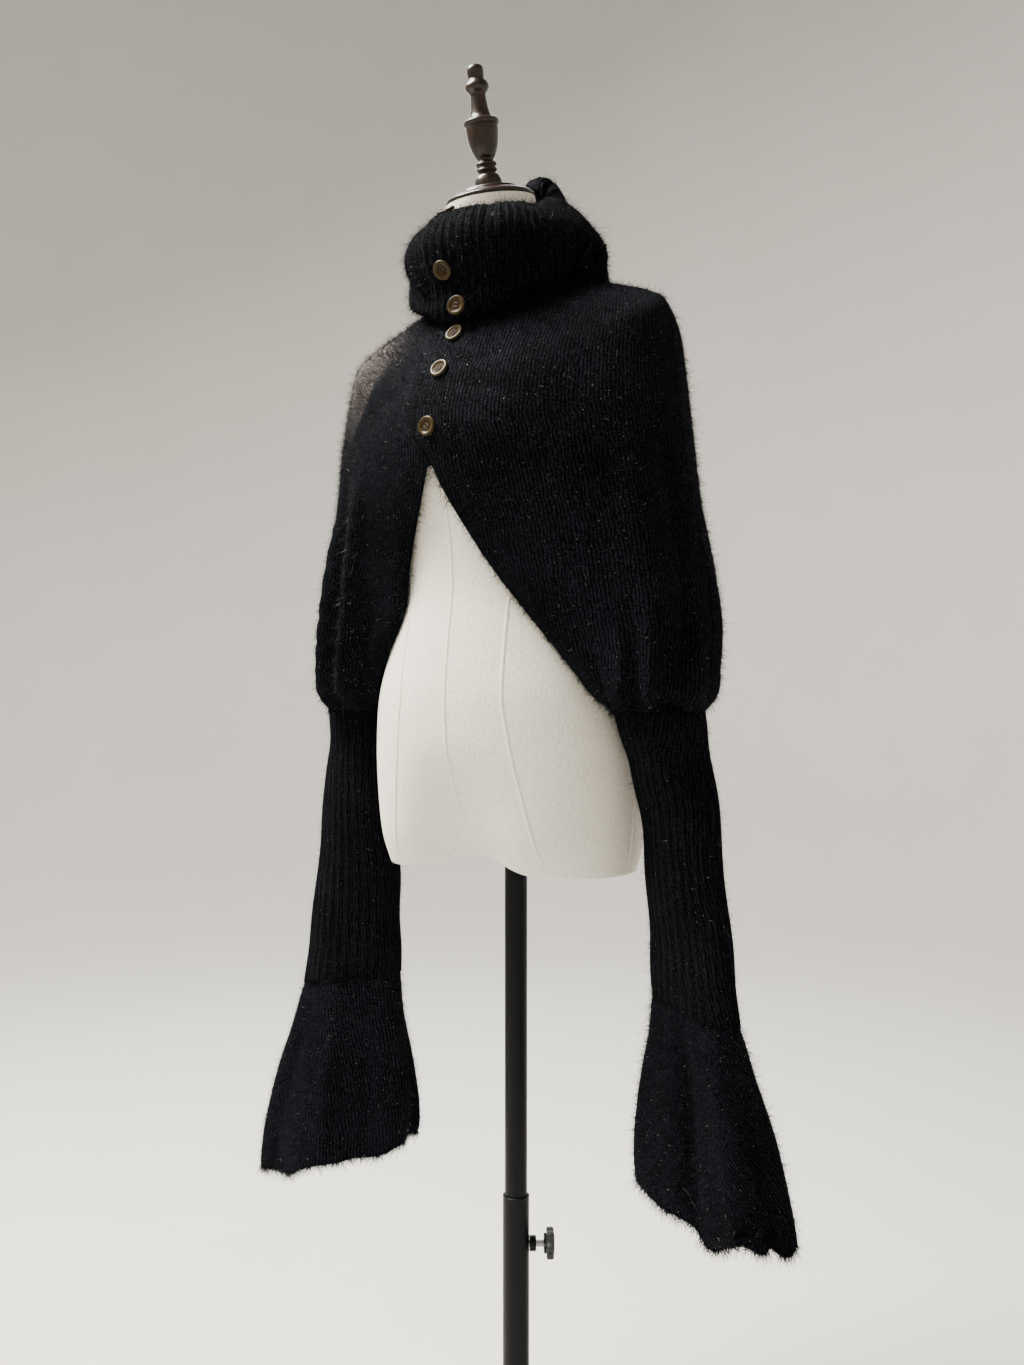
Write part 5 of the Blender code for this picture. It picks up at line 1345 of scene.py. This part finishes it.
def thread_shape():
    """Two bars of thread across the holes, each a few strands wide."""
    shape = bmesh.new()
    height = WELL_HEIGHT * BUTTON_THICKNESS + THREAD_RISE
    for side in (-1, 1):
        bar = bmesh.ops.create_cone(
            shape,
            cap_ends=True,
            segments=THREAD_STEPS,
            radius1=THREAD_RADIUS,
            radius2=THREAD_RADIUS,
            depth=2 * HOLE_PLACE + THREAD_PAST_HOLES,
        )["verts"]
        bmesh.ops.rotate(shape, verts=bar, cent=(0, 0, 0), matrix=Matrix.Rotation(math.pi / 2, 3, "Y"))
        bmesh.ops.translate(shape, verts=bar, vec=(0.0, side * HOLE_PLACE, height))
    return shape


print("button line:", len(BUTTON_LINE), "points")

# %% Sew on the buttons
BUTTONS = 6
AWAY_FROM_WEARER = np.array([0.0, -1.0, 0.35])
RAY_START, RAY_REACH = 0.03, 0.08
FIRST_TURN, NEXT_TURN = 25.0, 47.0


def button_frame(node):
    """The centre of a CAD button and its axis, which points away from the wearer."""
    spots = np.array([vert.co for vert in frame["nodes"][node].data.vertices])
    centre = (spots.min(0) + spots.max(0)) / 2
    axis = np.linalg.svd(spots - spots.mean(0), full_matrices=False)[2][2]
    return Vector(centre), Vector(axis if axis @ AWAY_FROM_WEARER > 0 else -axis)


cloth_trees = [tree_of(fronts["left"]), tree_of(ribbed_collar)]
button_places = []
for number in range(1, BUTTONS + 1):
    centre, axis = button_frame(f"button_{number}")
    hits = [tree.ray_cast(centre + axis * RAY_START, -axis, RAY_REACH) for tree in cloth_trees]
    seat = min((hit for hit in hits if hit[0] is not None), key=lambda hit: hit[3])[0]
    turn = Matrix.Rotation(math.radians(FIRST_TURN + NEXT_TURN * number), 4, "Z")
    along_axis = axis.to_track_quat("Z", "Y").to_matrix().to_4x4()
    button_place = Matrix.Translation(seat + axis * BUTTON_SEAT) @ along_axis @ turn
    look = {"body": "form", "slot": "horn", "sharp": 35, "place": button_place}
    button = finished(f"horn_button_{number}", button_shape(), horn, nodes=[f"button_{number}"], **look)
    button.data.materials.append(sunk_horn)
    finished(f"button_thread_{number}", thread_shape(), thread, **look)
    button_places.append(np.array(seat))
print("buttons sewn on:", len(button_places))

# %% [markdown]
# ## The halo
# Brushing lifts thousands of fine hairs off the yarn. Hair curves are lost on export, so each hair is a
# narrow ribbon of a few faces, and all the hairs of a piece are one mesh made from arrays. Their roots are
# spread evenly over the cloth, they lean a random way, and they droop a little. A real hair is 0.03 mm
# thick, far under a pixel, so a ribbon is drawn several times wider and stands for a small tuft.

# %% Helpers to root hairs in the cloth
cloth = [*fronts.values(), knit_back, ribbed_collar, *cuffs.values(), *bells.values()]


def triples(items, name, kind):
    """One value of every item of a mesh, as rows of three numbers."""
    values = np.empty(len(items) * 3, kind)
    items.foreach_get(name, values)
    return values.reshape(-1, 3)


def spread_roots(piece, count, rng):
    """Random places spread evenly over a piece's outer face, with the normals there."""
    mesh = piece.data
    mesh.calc_loop_triangles()
    corners = triples(mesh.loop_triangles, "vertices", np.int32)
    spots = triples(mesh.vertices, "co", np.float32)[corners]
    normals = triples(mesh.vertex_normals, "vector", np.float32)[corners]
    areas = np.linalg.norm(np.cross(spots[:, 1] - spots[:, 0], spots[:, 2] - spots[:, 0]), axis=1)
    chosen = rng.choice(len(areas), count, p=areas / areas.sum())
    a, b = np.sqrt(rng.random(count)), rng.random(count)
    shares = np.stack([1 - a, a * (1 - b), a * b], 1)[..., None]
    return (spots[chosen] * shares).sum(1), (normals[chosen] * shares).sum(1)


def edge_roots(piece, count, rng):
    """Random places along a piece's open edges, with the ways that point off the cloth there."""
    shape = bmesh.new()
    shape.from_mesh(piece.data)
    open_edges = [edge for edge in shape.edges if edge.is_boundary]
    starts = np.array([edge.verts[0].co for edge in open_edges])
    ends = np.array([edge.verts[1].co for edge in open_edges])
    inner = np.array([edge.link_faces[0].calc_center_median() for edge in open_edges])
    shape.free()
    lengths = np.linalg.norm(ends - starts, axis=1)
    chosen = rng.choice(len(lengths), count, p=lengths / lengths.sum())
    roots = starts[chosen] + (ends - starts)[chosen] * rng.random((count, 1))
    return roots, unit(roots - inner[chosen])


print("pieces to root hairs in:", len(cloth))

# %% Helper to make a mesh of hairs
LEAN, SAG, BEND, TAPER, WINDING = 0.8, 0.6, 0.35, 0.6, (2.0, 5.5)


def hair_mesh(name, roots, normals, lengths, width, joints, lift, curl, droop, shares, rng):
    """One mesh of ribbons: each has two sides along its joints and one point at its tip."""
    count = len(roots)
    lean_way = unit(rng.normal(size=(count, 3)))
    aim = unit(normals * rng.uniform(*lift, (count, 1)) + lean_way * LEAN - np.array([0, 0, droop]))
    bend = unit(rng.normal(size=(count, 3)) - np.array([0, 0, SAG]))
    side = unit(np.cross(aim, rng.normal(size=(count, 3))))
    other = np.cross(aim, side)
    along = np.linspace(0, 1, joints)[None, :, None]
    span = lengths[:, None, None]
    phase = rng.uniform(0, 2 * math.pi, (count, 1, 1)) + along * rng.uniform(*WINDING, (count, 1, 1))
    wind = side[:, None] * np.cos(phase) + other[:, None] * np.sin(phase)
    line = roots[:, None] + aim[:, None] * span * along + bend[:, None] * span * along**2 * BEND
    line = line + wind * span * along * curl
    half = width / 2 * (1 - TAPER * along)
    edges = np.stack([line + side[:, None] * half, line - side[:, None] * half], 2)[:, :-1]
    verts = np.concatenate([edges.reshape(count, -1, 3), line[:, -1:]], 1)
    per = verts.shape[1]
    quads = [(2 * k, 2 * k + 1, 2 * k + 3, 2 * k + 2) for k in range(joints - 2)]
    loops = np.array([corner for quad in quads for corner in quad] + [per - 3, per - 2, per - 1])
    starts = np.arange(len(quads) + 1) * 4
    hair = np.arange(count)[:, None]
    mesh = bpy.data.meshes.new(name)
    mesh.vertices.add(count * per)
    mesh.vertices.foreach_set("co", verts.astype(np.float32).ravel())
    mesh.loops.add(count * len(loops))
    mesh.loops.foreach_set("vertex_index", (hair * per + loops).astype(np.int32).ravel())
    mesh.polygons.add(count * len(starts))
    mesh.polygons.foreach_set("loop_start", (hair * len(loops) + starts).astype(np.int32).ravel())
    mesh.update(calc_edges=True)
    for fibre in FIBRES:
        mesh.materials.append(fibre)
    finish = rng.choice(len(FIBRES), count, p=shares)
    mesh.polygons.foreach_set("material_index", np.repeat(finish, len(starts)).astype(np.int32))
    return mesh


print("fibre finishes to share out:", len(FIBRES))

# %% Grow the hairs
BUTTON_CLEAR = 0.0125
# kind: shortest, longest, width, joints, least and most lift, curl, droop, shares of the fibre finishes
HAIR_KINDS = {
    "nap": (0.0022, 0.0056, 0.00026, 2, (0.4, 1.2), 0.0, 0.2, (0.84, 0.156, 0.004)),
    "halo": (0.005, 0.0135, 0.00029, 3, (0.45, 1.4), 0.16, 0.25, (0.85, 0.15, 0.0)),
    "strays": (0.011, 0.026, 0.00024, 9, (0.6, 1.6), 0.34, 0.15, (0.85, 0.15, 0.0)),
    "fringe": (0.004, 0.016, 0.00038, 3, (0.5, 1.6), 0.16, 0.15, (0.9, 0.1, 0.0)),
}
# piece: nap, halo, strays, fringe
HAIR_COUNTS = {
    "knit_front_left": (30000, 14000, 300, 3000), "knit_front_right": (30000, 14000, 300, 3000),
    "knit_back": (44000, 19000, 350, 2500), "ribbed_collar": (36000, 14000, 1100, 2000),
    "ribbed_cuff_left": (14000, 2200, 40, 200), "ribbed_cuff_right": (14000, 2200, 40, 200),
    "flared_frill_left": (20000, 10000, 400, 6000), "flared_frill_right": (20000, 10000, 400, 6000),
}


def grow_hairs(piece, counts, seed):
    """Nap, halo, long curling strays and a fringe on the open edges of a piece, clear of the buttons."""
    rng = np.random.default_rng(seed)
    grown = []
    for (kind, looks), count in zip(HAIR_KINDS.items(), counts):
        shortest, longest, width, joints, lift, curl, droop, shares = looks
        find_roots = edge_roots if kind == "fringe" else spread_roots
        roots, normals = find_roots(piece, count, rng)
        free = np.min([np.linalg.norm(roots - spot, axis=1) for spot in button_places], 0) > BUTTON_CLEAR
        roots, normals = roots[free], normals[free]
        lengths = shortest + (longest - shortest) * rng.random(len(roots)) ** 2
        name = f"mohair_{kind}_{piece.name}"
        mesh = hair_mesh(name, roots, normals, lengths, width, joints, lift, curl, droop, shares, rng)
        hairs = placed(name, mesh)
        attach(hairs, "form")
        grown.append(hairs)
    print(piece.name, "hairs:", [len(hairs.data.polygons) for hairs in grown], "faces")
    return grown


for seed, piece in enumerate(cloth):
    grow_hairs(piece, HAIR_COUNTS[piece.name], seed)

# %% [markdown]
# ## Flat sizes of the cloth
# Each sheet of cloth was knitted to a flat size before it was sewn and hung. The sizes come from the worn
# pieces, as their runs across and down on the cloth, which each piece prints as it is sewn: the tubes are
# counted all round, and the collar's run is its mean, because rib stretches at its foot.

print("sheets declared:", len(cloth))

# %% [markdown]
# ## Studio
# The floor is a wide shallow dish of pale matt plaster that curves up far behind the object, so there is no
# horizon from any side. A large soft key light hangs high on the left of the picture, neither in front of
# the object nor behind it, so the far side stays dark. A weak sky fills the shadows, a small warm spot
# grazes the far shoulder from behind and shows its metallic thread, and a weak soft light shapes the back.

# %% Build the floor
# radius and height
FLOOR_LINE = (
    (0.0, 0.0), (3.2, 0.0), (3.9, 0.1), (4.5, 0.42), (4.9, 1.0), (5.1, 2.0), (5.2, 3.6), (5.25, 6.5),
)
FLOOR_STEPS, UPRIGHT, TROWEL_MARK = 96, 0.02, 1 / 3

plaster_look = {"Roughness": 0.95, "Specular IOR Level": 0.2}
plaster = mottled_finish("pale_plaster", plaster_look, TROWEL_MARK, "#dad8d3", "#e2e0dc", Detail=4.0)
floor_mesh = bpy.data.meshes.new("studio_floor")
dish = spun(FLOOR_LINE[:1] + tuple(rounded(FLOOR_LINE[1:])), FLOOR_STEPS)
for face in dish.faces:
    faces_out = face.normal.xy.dot(face.calc_center_median().xy) > 0
    if face.normal.z < 0 or (abs(face.normal.z) < UPRIGHT and faces_out):
        face.normal_flip()
dish.to_mesh(floor_mesh)
dish.free()
floor_mesh.materials.append(plaster)
floor_mesh.shade_smooth()
studio_floor = placed("studio_floor", floor_mesh)
print("floor:", len(floor_mesh.polygons), "faces")

# %% Hang the lights
to_right = Vector((math.cos(CAMERA_TURN), math.sin(CAMERA_TURN), 0.0))
SPOT_CONE, SPOT_BLEND = math.radians(4.5), 0.8
SKY_COLOUR, SKY_STRENGTH = "#e4e8ee", 0.24
# name, kind, right of the camera's line, towards the camera, height, aim, size, watts, colour
LIGHTS = (
    ("key", "AREA", -1.35, 0.05, 3.35, (0.0, 0.0, 1.05), 1.4, 490.0, "#fffaf2"),
    ("shoulder", "SPOT", -0.9, -1.5, 2.3, (-0.2, 0.0, 1.386), 0.03, 4800.0, "#ffe9d2"),
    ("back_fill", "AREA", -0.2, -2.7, 2.7, (0.0, 0.0, 1.05), 1.6, 45.0, "#f4f6ff"),
)
for name, kind, right, toward, height, aim, size, watts, colour in LIGHTS:
    light = bpy.data.lights.new(name, kind)
    if kind == "AREA":
        light.size = size
    else:
        light.shadow_soft_size = size
        light.spot_size = SPOT_CONE
        light.spot_blend = SPOT_BLEND
    light.energy = watts
    light.color = linear(colour)[:3]
    lamp = placed(name, light)
    lamp.location = to_right * right + camera_side * toward + Vector((0.0, 0.0, height))
    lamp.rotation_euler = (Vector(aim) - lamp.location).to_track_quat("-Z", "Y").to_euler()
    lamp.visible_camera = False
world = bpy.data.worlds.new("studio_sky")
world.use_nodes = True
sky = world.node_tree.nodes["Background"]
sky.inputs["Color"].default_value = linear(SKY_COLOUR)
sky.inputs["Strength"].default_value = SKY_STRENGTH
bpy.context.scene.world = world
print("lights:", len(LIGHTS))
